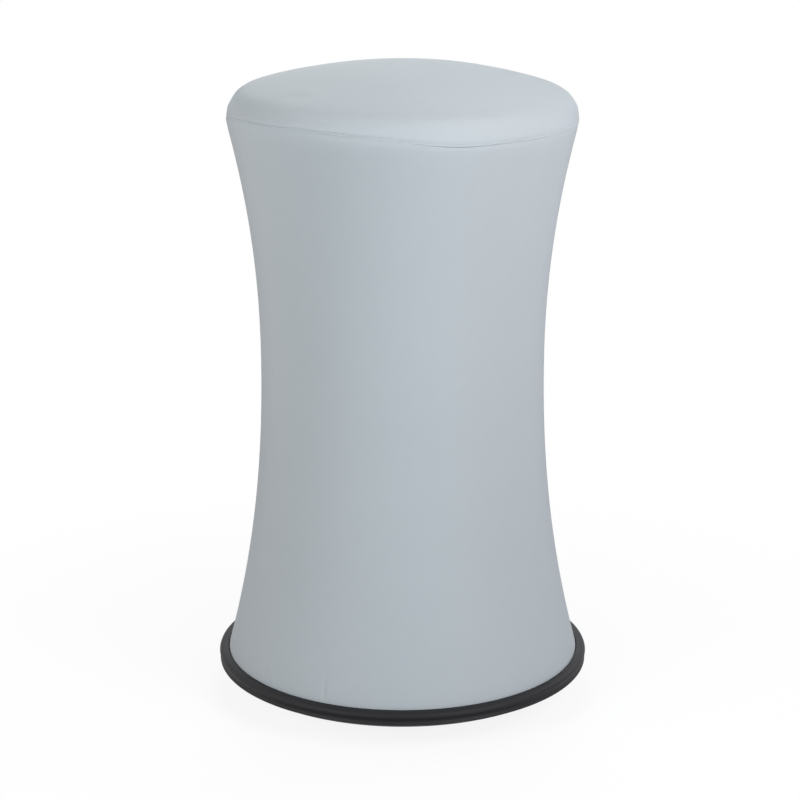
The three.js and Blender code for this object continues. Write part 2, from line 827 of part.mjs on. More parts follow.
function seatBoard() {
  let board = toSolid(cylinder(boardRadius, boardThickness, bodySides));
  const barrel = plateScrewRadius + teeNutWall + 2 * seatGap;
  const hole = cylinder(barrel, boardThickness + 2 * cutOverrun, screwSides);
  const sinkDepth = teeNutFlange + 2 * seatGap;
  const sink = cylinder(teeNutFlangeRadius + seatGap, sinkDepth + cutOverrun, screwSides);
  for (const [x, y] of cornerPlaces(plateScrewSpacing)) {
    board = board.subtract(toSolid(hole.clone().translate(x, y, -cutOverrun)));
    board = board.subtract(toSolid(sink.clone().translate(x, y, boardThickness - sinkDepth)));
  }
  return at(piece('seat_board', toGeometry(board), plywood), 0, 0, boardLevel);
}

function seatFoam() {
  const foot = boardLevel + boardThickness + seatGap;
  const outline = inset(crownOutline(bodyRows), fabricThickness + seatGap);
  const above = outline.filter((point) => point[1] > foot + fabricThickness);
  const footRadius = radiusAtHeight(outline, foot);
  return piece('seat_foam', turned([[0, foot], [footRadius, foot], ...above], bodySides), foam);
}

function seatCover() {
  const outside = crownOutline(bodyRows);
  const inside = inset(outside, fabricThickness).reverse();
  inside[inside.length - 1] = [seamRadius - fabricThickness, coverLevel];
  return piece('seat_cover', turned([...inside, ...outside], bodySides), fabric);
}

function seatSeam() {
  return cordRing('seat_seam', seamRadius - seamCordRadius, seamCordRadius, seamHeight, fabric);
}

// Release

// A flat strip's side view, along its middle line
function stripOutline(line, thickness) {
  const sides = [[], []];
  line.forEach(([x, z], i) => {
    const before = line[Math.max(i - 1, 0)];
    const after = line[Math.min(i + 1, line.length - 1)];
    const run = Math.hypot(after[0] - before[0], after[1] - before[1]);
    const across = thickness / 2 * (before[1] - after[1]) / run;
    const up = thickness / 2 * (after[0] - before[0]) / run;
    sides[0].push(new THREE.Vector2(x - across, z - up));
    sides[1].unshift(new THREE.Vector2(x + across, z + up));
  });
  return new THREE.Shape([...sides[0], ...sides[1]]);
}

function releaseLever() {
  const line = [leverTip, leverKnee, [0, 0], leverBend, leverDrop, leverEnd];
  const strip = extruded(stripOutline(line, leverThickness), leverWidth)
    .rotateX(Math.PI / 2)
    .translate(0, leverWidth / 2, 0);
  const boss = cylinder(pivotBossRadius, leverWidth, shaftSides)
    .translate(0, 0, -leverWidth / 2)
    .rotateX(Math.PI / 2);
  const hole = cylinder(pivotPinRadius + seatGap, leverWidth + 2 * cutOverrun, screwSides)
    .translate(0, 0, -leverWidth / 2 - cutOverrun)
    .rotateX(Math.PI / 2);
  const lever = toSolid(strip).add(toSolid(boss)).subtract(toSolid(hole));
  return piece('release_lever', toGeometry(lever), brightSteel);
}

function leverPaddle() {
  const wrap = paddleLength * paddleWrapShare;
  const slope = Math.atan2(leverEnd[1] - leverDrop[1], leverEnd[0] - leverDrop[0]);
  const block = extruded(roundedRectangle(paddleLength, paddleWidth, paddleCornerRadius), paddleThickness)
    .translate(paddleLength / 2, 0, -paddleThickness / 2);
  const slotLength = wrap + seatGap + cutOverrun;
  const slot = new THREE.BoxGeometry(slotLength, leverWidth + 2 * seatGap, leverThickness + 2 * seatGap)
    .translate(slotLength / 2 - cutOverrun, 0, 0);
  const paddle = piece('lever_paddle', toGeometry(toSolid(block).subtract(toSolid(slot))), moulding);
  paddle.rotation.y = -slope;
  return at(paddle, leverEnd[0] - wrap * Math.cos(slope), 0, leverEnd[1] - wrap * Math.sin(slope));
}

function releasePin() {
  const outline = [
    [0, -valvePinLength],
    [valvePinRadius, -valvePinLength],
    [valvePinRadius, -valvePinDomeHeight],
    [valvePinTipRadius, 0],
    [0, 0],
  ];
  const level = housingTop - leverThickness - valvePinGap;
  return at(piece('release_pin', turned(outline, shaftSides), brightSteel), 0, 0, level);
}

// Assembly

const base = new THREE.Group();
base.add(
  solePad(),
  treadRing(),
  rockerShell(),
  ...[1, 2, 3, 4].map(ballastWeight),
  ...ballastScrews(),
  columnSocket(),
  ...socketBolts(),
  columnTube(),
  guideBush(),
  bearingRace('bearing_lower_race', plateHoleRadius, lowerRaceLevel),
);

const swivel = new THREE.Group();
swivel.add(
  ballCage(),
  bearingRace('bearing_upper_race', rodRadius + seatGap, upperRaceLevel),
  pistonRod(),
  rodClip(),
  rubberBuffer(),
  piston(),
  pistonNut(),
  hemRing(),
  hemDrawcord(),
  sleeve(),
);

const release = new THREE.Group();
release.add(releaseLever(), leverPaddle());
at(release, pivotReach, 0, pivotLevel);

const seat = new THREE.Group();
seat.add(
  pressureTube(),
  tubeGland(),
  liftHousing(),
  leverPivotPin(),
  seatPlate(),
  ...plateScrews(),
  ...teeNuts(),
  seatBoard(),
  seatFoam(),
  seatCover(),
  seatSeam(),
  releasePin(),
  release,
);

const stool = new THREE.Group();
stool.add(base, swivel, seat);

export default stool;
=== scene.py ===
import json
import math

import bmesh
import bpy
from bpy.props import FloatProperty, FloatVectorProperty, IntProperty, PointerProperty
from bpy.types import Operator, Panel, PropertyGroup
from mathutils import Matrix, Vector
from mathutils.bvhtree import BVHTree


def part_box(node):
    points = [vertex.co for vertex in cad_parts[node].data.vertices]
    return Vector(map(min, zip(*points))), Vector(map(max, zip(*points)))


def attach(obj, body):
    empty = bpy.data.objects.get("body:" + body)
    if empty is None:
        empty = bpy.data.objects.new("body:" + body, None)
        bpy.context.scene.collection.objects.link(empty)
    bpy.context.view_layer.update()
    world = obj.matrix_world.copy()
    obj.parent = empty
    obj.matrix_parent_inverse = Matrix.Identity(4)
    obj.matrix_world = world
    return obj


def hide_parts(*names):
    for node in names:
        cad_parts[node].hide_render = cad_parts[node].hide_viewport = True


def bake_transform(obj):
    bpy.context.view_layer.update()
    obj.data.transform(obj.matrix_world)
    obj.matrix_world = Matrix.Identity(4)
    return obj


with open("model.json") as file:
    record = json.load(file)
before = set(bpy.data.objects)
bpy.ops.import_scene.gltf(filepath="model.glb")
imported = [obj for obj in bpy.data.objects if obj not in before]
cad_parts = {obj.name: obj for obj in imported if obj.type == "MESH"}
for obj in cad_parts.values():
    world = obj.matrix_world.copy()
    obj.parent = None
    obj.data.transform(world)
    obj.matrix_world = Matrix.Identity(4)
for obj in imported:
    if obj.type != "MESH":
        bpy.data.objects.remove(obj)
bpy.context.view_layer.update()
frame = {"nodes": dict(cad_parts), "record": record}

bl_info = {
    "name": "Wobble stool",
    "version": (1, 0, 0),
    "blender": (4, 5, 0),
    "location": "3D View > Sidebar > Stool",
    "description": "Makes the stool's fabric, foam, rubber and metal around its frame",
    "category": "Object",
}

MM = 0.001

# Places that the frame gives
HEM_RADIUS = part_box("sleeve")[1].x
SLEEVE_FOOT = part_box("sleeve")[0].z
SEAM_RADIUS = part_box("seat_seam")[1].x
SEAM_HEIGHT = (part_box("seat_seam")[0].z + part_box("seat_seam")[1].z) / 2
COVER_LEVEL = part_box("seat_cover")[0].z
CROWN_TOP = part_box("seat_cover")[1].z
BOARD_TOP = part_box("seat_board")[1].z
RIM_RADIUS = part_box("tread_ring")[1].x
HEM_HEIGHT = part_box("tread_ring")[1].z
SHELL_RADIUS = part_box("rocker_shell")[1].x
SHELL_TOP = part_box("rocker_shell")[1].z
SOLE_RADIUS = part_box("sole_pad")[1].x
DRAWCORD_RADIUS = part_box("hem_drawcord")[1].x
DRAWCORD_HEIGHT = (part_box("hem_drawcord")[0].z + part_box("hem_drawcord")[1].z) / 2
HEM_RING_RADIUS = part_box("hem_ring")[1].x

# Fits between neighbouring pieces, as in the frame
SEAT_GAP = 0.3 * MM
RUNNING_GAP = 0.6 * MM
# Gap from the middle of the seam to the fabric's edge on each side of it
LIP_GAP = 0.1 * MM

# Faces round a turned piece and round the sleeve
COLUMNS = 240
SLEEVE_COLUMNS = 320
# Rows of faces up the sleeve's outside, over its lip, down its inside and across its foot
SLEEVE_ROWS = (120, 8, 24, 1)
# The most of a side that the rounding of one corner may take
CORNER_SHARE = 0.48

# Seam: height, lobes and phase of each wave that it follows round the seat
SEAM_WAVES = [
    (-0.7 * MM, 0, 0), (3.0 * MM, 1, -2.28), (3.0 * MM, 2, 1.71), (1.9 * MM, 3, -0.39),
    (0.5 * MM, 4, -3.05), (0.4 * MM, 5, -0.58), (0.9 * MM, 6, 1.59), (0.3 * MM, 11, 1.64),
]
# How far the stitching draws the fabric in at the seam
SEAM_TUCK = 0.7 * MM
# Turn from +X to where the rolled seam allowance stands out most, and how narrow that place is
RIDGE_TURN = -1.9
RIDGE_POWER = 8
# How much a stitch leans along the seam, and how far it stands off the middle of the rolled
# allowance, as a share of that roll's radius
STITCH_LEAN = 0.3
STITCH_STANDOUT = 0.75

# Brings the highest value of x * x * (1 - x) to 1
HUMP_SCALE = 6.75
# How late the roll's edge turns in
EDGE_POWER = 8
# Where the crown of the seat turns into its shoulder, as shares of its radius
SHOULDER_SHARES = (0.68, 0.90)
# Where the shoulder's slump sets in and where it ends, as shares of the crown's radius
SLUMP_ONSET = (0.35, 0.88)
SLUMP_END = (0.9, 1)
# Heights over the cover's edge between which the slack cushion leaves its finished size
SLACK_ONSET = (2 * MM, 10 * MM)
# Turns from +X to where the padding has sunk most and to where its roll turns in most
SLUMP_TURN = -0.6
TUCK_TURN = -1.3
# How far the swollen cover may end inside and outside its finished size
SAG = 0.6 * MM
STRAIN = 0.2 * MM
# Cushion that is blown up: its faces round, how far it reaches under the cover's edge, how far
# above that edge it is held, its voxels, and the pressure in it and the frames that it takes
TRIAL_COLUMNS = 96
TRIAL_FOOT = 2 * MM
TRIAL_HOLD = 4 * MM
VOXEL = 5 * MM
PRESSURE = 4
FRAMES = 20

# Strands of the drawcord
STRANDS = 3
# Pulled threads at the hem: turn from +X, height, width, length and depth of each
HEM_PUCKERS = [
    (-2.02, 48 * MM, 1.5 * MM, 9 * MM, 1.0 * MM),
    (-2.45, 46 * MM, 3.2 * MM, 7 * MM, 0.35 * MM),
    (-2.38, 47 * MM, 3.0 * MM, 6 * MM, -0.3 * MM),
    (-2.52, 47 * MM, 3.0 * MM, 6 * MM, -0.3 * MM),
]
# Widths and lengths of a pull past which it isn't worked out
PUCKER_REACH = 3


def size(name, description, default):
    return FloatProperty(
        name=name, description=description, default=default, min=0, unit="LENGTH", precision=5)


def share(name, description, default):
    return FloatProperty(name=name, description=description, default=default, min=0)


def colour(name, description, default):
    return FloatVectorProperty(
        name=name, description=description, default=default, min=0, max=1, size=3,
        subtype="COLOR")


class FabricSettings(PropertyGroup):
    thickness: size("Thickness", "Thickness of the stretch fabric", 2.2 * MM)
    waist_radius: size("Waist radius", "Radius of the sleeve at its waist", 130.8 * MM)
    waist_height: size("Waist height", "Height of the sleeve's waist", 318 * MM)
    lower_flare: share("Lower flare", "Power of the flare from waist to hem", 2.17)
    upper_flare: share("Upper flare", "Power of the flare from waist to seam", 2.06)
    slack: size("Slack", "How far the sleeve's faint bands stand in and out", 0.35 * MM)
    knit_pitch: size("Knit pitch", "Width of one knitted loop", 0.8 * MM)
    colour: colour("Colour", "Colour of the fabric", (0.535, 0.592, 0.629))
    # Painted shade in the knit's hollows, and the darker end of the fabric's own uneven tone
    shade: colour("Shade", "Colour in the knit's hollows", (0.496, 0.552, 0.593))


class SeatSettings(PropertyGroup):
    crown_rise: size("Crown rise", "Height of the crown above the seam", CROWN_TOP - COVER_LEVEL)
    slope_share: share("Slope share", "Share of the crown that is a plain dome", 0.579)
    edge_power: share("Edge power", "How late the crown turns down at its edge", 35)
    edge_softness: share("Edge softness", "How softly the crown turns down", 1.43)
    roll_bulge: size(
        "Roll bulge", "How far the roll swells over its edge, which turns in as far", 0.6 * MM)
    front_tuck: size("Front tuck", "How far the cover's edge turns back at the front", 0.5 * MM)
    roll_height: size("Roll height", "Height of the roll above the cover's edge", 13 * MM)
    slump: size("Slump", "How much lower the shoulder is at the front right", 3 * MM)
    give: size("Give", "How far the padding may swell from its slack form", 2 * MM)
    foam_colour: colour("Foam colour", "Colour of the foam", (0.80, 0.73, 0.56))


class SeamSettings(PropertyGroup):
    cord_radius: size("Cord radius", "Radius of the rolled seam allowance", 0.9 * MM)
    depth: size("Depth", "How far the rolled allowance lies in from the fabric's face", 0.5 * MM)
    ridge: size("Ridge", "How far the rolled allowance swells out at the front", 0.8 * MM)
    stitch_pitch: size("Stitch pitch", "Distance from one stitch to the next", 2.6 * MM)
    stitch_length: size("Stitch length", "Length of one stitch", 2.2 * MM)
    thread: size("Thread", "Thickness of the sewing thread", 0.32 * MM)


class BaseSettings(PropertyGroup):
    flat_radius: size("Flat radius", "Radius of the underside's flat middle", 60 * MM)
    curve: size("Curve", "Radius of the underside's curve", 275 * MM)
    rim_drop: size("Rim drop", "Height of the hem above the tread ring's rim", 4.4 * MM)
    rim_width: size("Rim width", "Width of the flange round the hem", 8.9 * MM)
    reach: size("Reach", "Width of the tread ring under the base", 24.1 * MM)
    edge_inset: size("Edge inset", "How far the tread's edge lies inside the hem", 3.1 * MM)
    thickness: size("Thickness", "Thickness of the tread", 3 * MM)
    groove_drop: size("Groove drop", "Height of the rim above its groove", 2.8 * MM)
    groove_width: size("Groove width", "Width of the groove under the rim", 1.5 * MM)
    groove_depth: size("Groove depth", "Depth of the groove under the rim", 1.9 * MM)
    sole_thickness: size("Sole thickness", "Thickness of the sole", 4 * MM)
    sole_grooves: IntProperty(
        name="Sole grooves", description="Rings of grip cut in the sole", default=7, min=1)
    rubber_colour: colour("Rubber colour", "Colour of the rubber", (0.014, 0.014, 0.016))
    moulding_colour: colour("Moulding colour", "Colour of the rocker shell", (0.030, 0.031, 0.033))


class StageSettings(PropertyGroup):
    floor_colour: colour("Floor colour", "Colour of the floor", (0.42, 0.42, 0.42))
    key: share("Key light", "Power of the light at the front right, in watts", 10.3)
    low_key: share("Low key light", "Power of the level light at the front right, in watts", 3.0)
    left: share("Left light", "Power of the light at the front left, in watts", 9.2)
    left_edge: share("Left edge light", "Power of the light at the left side, in watts", 3.0)
    right_rim: share("Right rim light", "Power of the light behind on the right, in watts", 5.3)
    back: share("Back light", "Power of the light behind, in watts", 16.6)
    ambient: share("Ambient light", "Strength of the light all round", 0.10)


class StoolSettings(PropertyGroup):
    fabric: PointerProperty(type=FabricSettings, name="Fabric", description="Sleeve and cover")
    seat: PointerProperty(type=SeatSettings, name="Seat", description="Crown and padding")
    seam: PointerProperty(type=SeamSettings, name="Seam", description="Seam round the seat")
    base: PointerProperty(type=BaseSettings, name="Base", description="Rubber and shell")
    stage: PointerProperty(type=StageSettings, name="Stage", description="Floor and lights")


# Node trees


class Value:
    """A node's output that arithmetic can be written with."""

    def __init__(self, graph, socket):
        self.graph = graph
        self.socket = socket

    def output(self, name):
        return Value(self.graph, self.socket.node.outputs[name])

    def clamped(self):
        return self.graph.math("ADD", self, 0, clamp=True)

    def __add__(self, other):
        return self.graph.math("ADD", self, other)

    def __sub__(self, other):
        return self.graph.math("SUBTRACT", self, other)

    def __rsub__(self, other):
        return self.graph.math("SUBTRACT", other, self)

    def __mul__(self, other):
        return self.graph.math("MULTIPLY", self, other)

    def __truediv__(self, other):
        return self.graph.math("DIVIDE", self, other)

    def __pow__(self, other):
        return self.graph.math("POWER", self, other)

    __radd__ = __add__
    __rmul__ = __mul__


class Graph:
    """A tree of nodes that is written as calls."""

    def __init__(self, tree):
        self.tree = tree

    def node(self, kind, settings=None, inputs=None, output=0):
        node = self.tree.nodes.new(kind)
        for name, value in (settings or {}).items():
            if name == "stops":
                self.set_stops(node.color_ramp, value)
            else:
                setattr(node, name, value)
        for name, value in (inputs or {}).items():
            self.feed(self.find(node.inputs, name), value)
        return Value(self, self.find(node.outputs, output)) if node.outputs else None

    def math(self, operation, *values, clamp=False):
        settings = {"operation": operation, "use_clamp": clamp}
        return self.node("ShaderNodeMath", settings, dict(enumerate(values)))

    def cosine(self, angle):
        return self.math("COSINE", angle)

    def sine(self, angle):
        return self.math("SINE", angle)

    def vector(self, x, y, z):
        return self.node("ShaderNodeCombineXYZ", None, {"X": x, "Y": y, "Z": z})

    def feed(self, socket, value):
        if isinstance(value, Value):
            self.tree.links.new(value.socket, socket)
        else:
            socket.default_value = value

    @staticmethod
    def find(sockets, name):
        if isinstance(name, int):
            return sockets[name]
        return next(socket for socket in sockets if socket.enabled and socket.name == name)

    @staticmethod
    def set_stops(ramp, stops):
        while len(ramp.elements) < len(stops):
            ramp.elements.new(1)
        for element, (position, tone) in zip(ramp.elements, stops):
            element.position = position
            element.color = (tone, tone, tone, 1)


def emptied(owner):
    """The node tree of a new material or world, without the nodes that it starts with."""
    owner.use_nodes = True
    owner.node_tree.nodes.clear()
    return Graph(owner.node_tree)


# Materials


def material(name, finish):
    """A material whose shader gets the settings and links that finish works out."""
    made = bpy.data.materials.new(name)
    graph = emptied(made)
    shader = graph.node("ShaderNodeBsdfPrincipled", None, finish(graph))
    graph.node("ShaderNodeOutputMaterial", None, {"Surface": shader})
    return made


def opaque(tone):
    return (*tone, 1)


def scaled(tone, factor):
    return [factor * channel for channel in tone]


def object_place(graph):
    return graph.node("ShaderNodeTexCoord", None, None, "Object")


def noise(graph, place, scale, detail=2, roughness=0.5):
    inputs = {"Vector": place, "Scale": scale, "Detail": detail, "Roughness": roughness}
    return graph.node("ShaderNodeTexNoise", None, inputs)


def stretched(graph, place, along):
    """The place with one direction drawn out, for brushed and grained surfaces."""
    return graph.node("ShaderNodeMapping", None, {"Vector": place, "Scale": along})


def blended(graph, factor, first, second):
    inputs = {"Factor": factor, "A": opaque(first), "B": opaque(second)}
    return graph.node("ShaderNodeMix", {"data_type": "RGBA"}, inputs, "Result")


def bumped(graph, height, distance, strength=1):
    inputs = {"Height": height, "Distance": distance, "Strength": strength}
    return graph.node("ShaderNodeBump", None, inputs)


def fabric_material(settings, name, place):
    """Fine stretch jersey: rows of small V-shaped loops with painted shade in their hollows,
    slightly uneven in tone.
    """
    courses_per_wale = 1.25
    loop_slant = 1.4

    def finish(graph):
        across = graph.node("ShaderNodeSeparateXYZ", None, {"Vector": place(graph)})
        wale = across * (1 / settings.knit_pitch)
        course = across.output("Y") * (courses_per_wale / settings.knit_pitch)
        slant = graph.math("ABSOLUTE", graph.math("FRACT", wale) - 0.5)
        rib = graph.cosine(wale * math.tau) * 0.5 + 0.5
        row = graph.cosine((course + slant * loop_slant) * math.tau) * 0.5 + 0.5
        # Low where the knit's hollows lie, which the tone below paints darker as painted shade
        loops = (1 - rib) * 0.45 + row * 0.55
        body = object_place(graph)
        cloudy = noise(graph, body, scale=9, detail=3)
        mottle = noise(graph, body, scale=90, detail=5, roughness=0.75)
        fuzz = noise(graph, body, scale=1900, detail=2, roughness=0.7)
        # Painted shade in the knit's hollows, mixed with the fabric's own uneven tone from the
        # noises
        tone = (loops * 0.30 + cloudy * 0.55 + mottle * 0.6 + fuzz * 0.35 - 0.4).clamped()
        return {
            "Base Color": blended(graph, tone, settings.shade, settings.colour),
            "Roughness": 0.86,
            "Specular IOR Level": 0.2,
            "Sheen Weight": 0.25,
            "Sheen Roughness": 0.45,
            "Normal": bumped(graph, loops * 0.7 + fuzz * 0.3, 0.12 * MM, strength=0.5),
        }
    return material(name, finish)


def rubber_material(settings):
    """Moulded rubber: satin, faintly mottled, with the odd speck of dust on it."""
    def finish(graph):
        place = object_place(graph)
        cloudy = noise(graph, place, scale=24, detail=4, roughness=0.6)
        grain = noise(graph, place, scale=2600, detail=2, roughness=0.6)
        specks = noise(graph, place, scale=330, detail=1)
        dust = graph.node(
            "ShaderNodeValToRGB", {"stops": [(0.80, 0), (0.83, 1)]}, {"Fac": specks})
        base = blended(
            graph, cloudy, scaled(settings.rubber_colour, 0.82),
            scaled(settings.rubber_colour, 1.25))
        dusty = {"Factor": dust, "A": base, "B": (0.22, 0.22, 0.22, 1)}
        return {
            "Base Color": graph.node(
                "ShaderNodeMix", {"data_type": "RGBA"}, dusty, "Result"),
            "Roughness": cloudy * 0.12 + 0.50,
            "Specular IOR Level": 0.20,
            "Normal": bumped(graph, grain, 0.06 * MM, strength=0.35),
        }
    return material("rubber", finish)


def moulding_material(settings):
    """Injection-moulded plastic with a fine spark-eroded grain."""
    def finish(graph):
        place = object_place(graph)
        grain = noise(graph, place, scale=1400, detail=3, roughness=0.65)
        light = scaled(settings.moulding_colour, 1.35)
        return {
            "Base Color": blended(graph, grain, settings.moulding_colour, light),
            "Roughness": grain * 0.2 + 0.42,
            "Normal": bumped(graph, grain, 0.08 * MM, strength=0.4),
        }
    return material("moulded_base", finish)


def foam_material(settings):
    """Open-cell foam: fine pores and a dusty, uneven cut."""
    def finish(graph):
        place = object_place(graph)
        pores = graph.node(
            "ShaderNodeTexVoronoi", None, {"Vector": place, "Scale": 900}, "Distance")
        cloudy = noise(graph, place, scale=60, detail=4, roughness=0.6)
        dark = scaled(settings.foam_colour, 0.78)
        return {
            "Base Color": blended(graph, pores * 0.6 + cloudy * 0.4, dark, settings.foam_colour),
            "Roughness": 0.95,
            "Specular IOR Level": 0.1,
            "Normal": bumped(graph, pores, 0.4 * MM, strength=0.6),
        }
    return material("foam", finish)


def cord_material():
    """Spun cord: fine fibres along a plain white lay."""
    def finish(graph):
        fibres = noise(graph, object_place(graph), scale=1500, detail=3, roughness=0.6)
        return {
            "Base Color": blended(graph, fibres, (0.60, 0.60, 0.58), (0.78, 0.78, 0.76)),
            "Roughness": 0.8,
            "Normal": bumped(graph, fibres, 0.1 * MM, strength=0.5),
        }
    return material("cord", finish)


def acetal_material():
    """Machined acetal: milky white with faint turning marks."""
    def finish(graph):
        turning = stretched(graph, object_place(graph), (60, 60, 2200))
        marks = noise(graph, turning, scale=1, detail=2)
        return {
            "Base Color": blended(graph, marks, (0.74, 0.74, 0.71), (0.82, 0.82, 0.79)),
            "Roughness": marks * 0.15 + 0.3,
            "Normal": bumped(graph, marks, 0.03 * MM, strength=0.3),
        }
    return material("acetal", finish)


def cast_iron_material():
    """Sand-cast iron: a coarse skin, dark in its pits."""
    def finish(graph):
        place = object_place(graph)
        skin = noise(graph, place, scale=420, detail=5, roughness=0.7)
        stain = noise(graph, place, scale=35, detail=3)
        return {
            "Base Color": blended(
                graph, skin * 0.6 + stain * 0.4, (0.045, 0.043, 0.042), (0.15, 0.145, 0.14)),
            "Metallic": 0.8,
            "Roughness": skin * 0.25 + 0.5,
            "Normal": bumped(graph, skin, 0.35 * MM, strength=0.7),
        }
    return material("ballast", finish)


def black_steel_material():
    """Powder-coated steel: low sheen with the coat's slight peel."""
    def finish(graph):
        place = object_place(graph)
        peel = noise(graph, place, scale=520, detail=2)
        wear = noise(graph, place, scale=40, detail=5, roughness=0.7)
        return {
            "Base Color": blended(graph, wear, (0.009, 0.009, 0.010), (0.020, 0.020, 0.021)),
            "Roughness": wear * 0.2 + 0.32,
            "Coat Weight": 0.2,
            "Normal": bumped(graph, peel, 0.06 * MM, strength=0.4),
        }
    return material("black_steel", finish)


def bright_steel_material():
    """Zinc-plated steel, brushed round and slightly clouded."""
    def finish(graph):
        place = object_place(graph)
        brushed = noise(graph, stretched(graph, place, (90, 90, 2600)), scale=1, detail=3)
        cloudy = noise(graph, place, scale=55, detail=3)
        return {
            "Base Color": blended(graph, cloudy, (0.50, 0.51, 0.53), (0.64, 0.64, 0.63)),
            "Metallic": 1,
            "Roughness": brushed * 0.2 + 0.22,
            "Normal": bumped(graph, brushed, 0.02 * MM, strength=0.4),
        }
    return material("bright_steel", finish)


def chrome_material():
    """Hard-chromed tube with a film of oil on it."""
    def finish(graph):
        place = object_place(graph)
        film = noise(graph, stretched(graph, place, (40, 40, 400)), scale=1, detail=4)
        return {
            "Base Color": (0.62, 0.63, 0.64, 1),
            "Metallic": 1,
            "Roughness": film * 0.14 + 0.06,
        }
    return material("chrome", finish)


def plywood_material():
    """Birch plywood: grain on its faces and plies at its edge."""
    pair_of_plies = 3 * MM

    def finish(graph):
        place = object_place(graph)
        height = graph.node("ShaderNodeSeparateXYZ", None, {"Vector": place}).output("Z")
        ply = graph.math("FRACT", height * (1 / pair_of_plies))
        crossed = graph.math("GREATER_THAN", ply, 0.5)
        lengthwise = stretched(graph, place, (30, 420, 420))
        grain = noise(graph, lengthwise, scale=1, detail=4, roughness=0.6)
        return {
            "Base Color": blended(
                graph, (grain * 0.7 + crossed * 0.3).clamped(), (0.42, 0.27, 0.14),
                (0.68, 0.50, 0.30)),
            "Roughness": grain * 0.2 + 0.55,
            "Normal": bumped(graph, grain, 0.1 * MM, strength=0.4),
        }
    return material("plywood", finish)


# Shapes


def link(name, data):
    added = bpy.data.objects.new(name, data)
    bpy.context.scene.collection.objects.link(added)
    return added


def evaluated_mesh(holder):
    """The holder's mesh with its modifiers worked in, which are then removed."""
    depsgraph = bpy.context.evaluated_depsgraph_get()
    mesh = bpy.data.meshes.new_from_object(
        holder.evaluated_get(depsgraph), preserve_all_data_layers=True, depsgraph=depsgraph)
    holder.modifiers.clear()
    holder.data = mesh
    return mesh


def smooth(holder, angle=35):
    holder.data.shade_smooth()
    holder.data.set_sharp_from_angle(angle=math.radians(angle))


def at(radius, turn, height):
    """The point at a radius, a turn from +X and a height."""
    return Vector((radius * math.cos(turn), radius * math.sin(turn), height))


def grown(name, build, inputs, surface):
    """A piece that a tree of geometry nodes makes from named inputs."""
    tree = bpy.data.node_groups.new(name, "GeometryNodeTree")
    identifiers = {}
    for label, value in inputs.items():
        kind = "NodeSocketInt" if isinstance(value, int) else "NodeSocketFloat"
        socket = tree.interface.new_socket(name=label, in_out="INPUT", socket_type=kind)
        socket.default_value = value
        identifiers[label] = socket.identifier
    tree.interface.new_socket(
        name="Geometry", in_out="OUTPUT", socket_type="NodeSocketGeometry")
    graph = Graph(tree)
    entry = tree.nodes.new("NodeGroupInput")
    given = {label: Value(graph, entry.outputs[label]) for label in inputs}
    real = graph.node(
        "GeometryNodeRealizeInstances", None, {"Geometry": build(graph, given)})
    coated = graph.node(
        "GeometryNodeSetMaterial", None, {"Geometry": real, "Material": surface})
    graph.feed(tree.nodes.new("NodeGroupOutput").inputs[0], coated)
    holder = link(name, bpy.data.meshes.new(name))
    modifier = holder.modifiers.new(name, "NODES")
    modifier.node_group = tree
    for label, value in inputs.items():
        modifier[identifiers[label]] = value
    evaluated_mesh(holder)
    return holder


def turned(name, outline, surface, columns=COLUMNS):
    """A closed body of revolution. The outline of radii and heights runs anticlockwise and
    closes on itself, unless it starts and ends on the axis."""
    points = []
    faces = []
    rings = []
    for radius, height in outline:
        if radius == 0:
            rings.append([len(points)] * columns)
            points.append((0, 0, height))
            continue
        rings.append(range(len(points), len(points) + columns))
        points += [at(radius, math.tau * i / columns, height) for i in range(columns)]
    closed = outline[0][0] > 0
    for j in range(len(rings) if closed else len(rings) - 1):
        low = rings[j]
        high = rings[(j + 1) % len(rings)]
        for i in range(columns):
            after = (i + 1) % columns
            corners = [low[i], low[after], high[after], high[i]]
            faces.append(list(dict.fromkeys(corners)))
    mesh = bpy.data.meshes.new(name)
    mesh.from_pydata(points, [], faces)
    mesh.materials.append(surface)
    made = link(name, mesh)
    smooth(made)
    return made


def softened(outline, steps=4):
    """The outline with each corner that has a radius rounded."""
    points = []
    for i, (radius, height, reach) in enumerate(outline):
        corner = Vector((radius, height))
        if not reach:
            points.append(corner)
            continue
        before = Vector(outline[i - 1][:2]) - corner
        after = Vector(outline[(i + 1) % len(outline)][:2]) - corner
        start = corner + before.normalized() * min(reach, before.length * CORNER_SHARE)
        end = corner + after.normalized() * min(reach, after.length * CORNER_SHARE)
        for step in range(steps + 1):
            part = step / steps
            points.append(
                start * (1 - part) ** 2 + corner * 2 * part * (1 - part) + end * part ** 2)
    return points


def underside_height(base, radius, lift):
    """Height of the convex underside at a radius, a lift above what touches the floor."""
    beyond = max(radius - base.flat_radius, 0)
    return base.curve - math.sqrt((base.curve - lift) ** 2 - beyond ** 2)


def underside_run(base, start, end, lift, steps):
    """Sharp outline points along the underside, from one radius to another."""
    radii = [start + (end - start) * i / steps for i in range(steps + 1)]
    return [(radius, underside_height(base, radius, lift), 0) for radius in radii]


def eased(corner, reach):
    """The outline point with its corner rounded."""
    return (*corner[:2], reach)


def seam_wave(turn, cosine):
    """How far the sewn edge wanders up and down round the seat."""
    return sum(height * cosine(lobes * turn - phase) for height, lobes, phase in SEAM_WAVES)


def own_place(graph):
    """Where the point lies that a geometry node works on, across first."""
    return graph.node(
        "ShaderNodeSeparateXYZ", None, {"Vector": graph.node("GeometryNodeInputPosition")})


def around(graph, radius, turn, height):
    """The point at a radius, a turn from +X and a height, as nodes."""
    return graph.vector(radius * graph.cosine(turn), radius * graph.sine(turn), height)


def circle(graph, radius, corners):
    return graph.node(
        "GeometryNodeCurvePrimitiveCircle", {"mode": "RADIUS"},
        {"Resolution": corners, "Radius": radius})


def placed(graph, shape, place):
    return graph.node("GeometryNodeSetPosition", None, {"Geometry": shape, "Position": place})


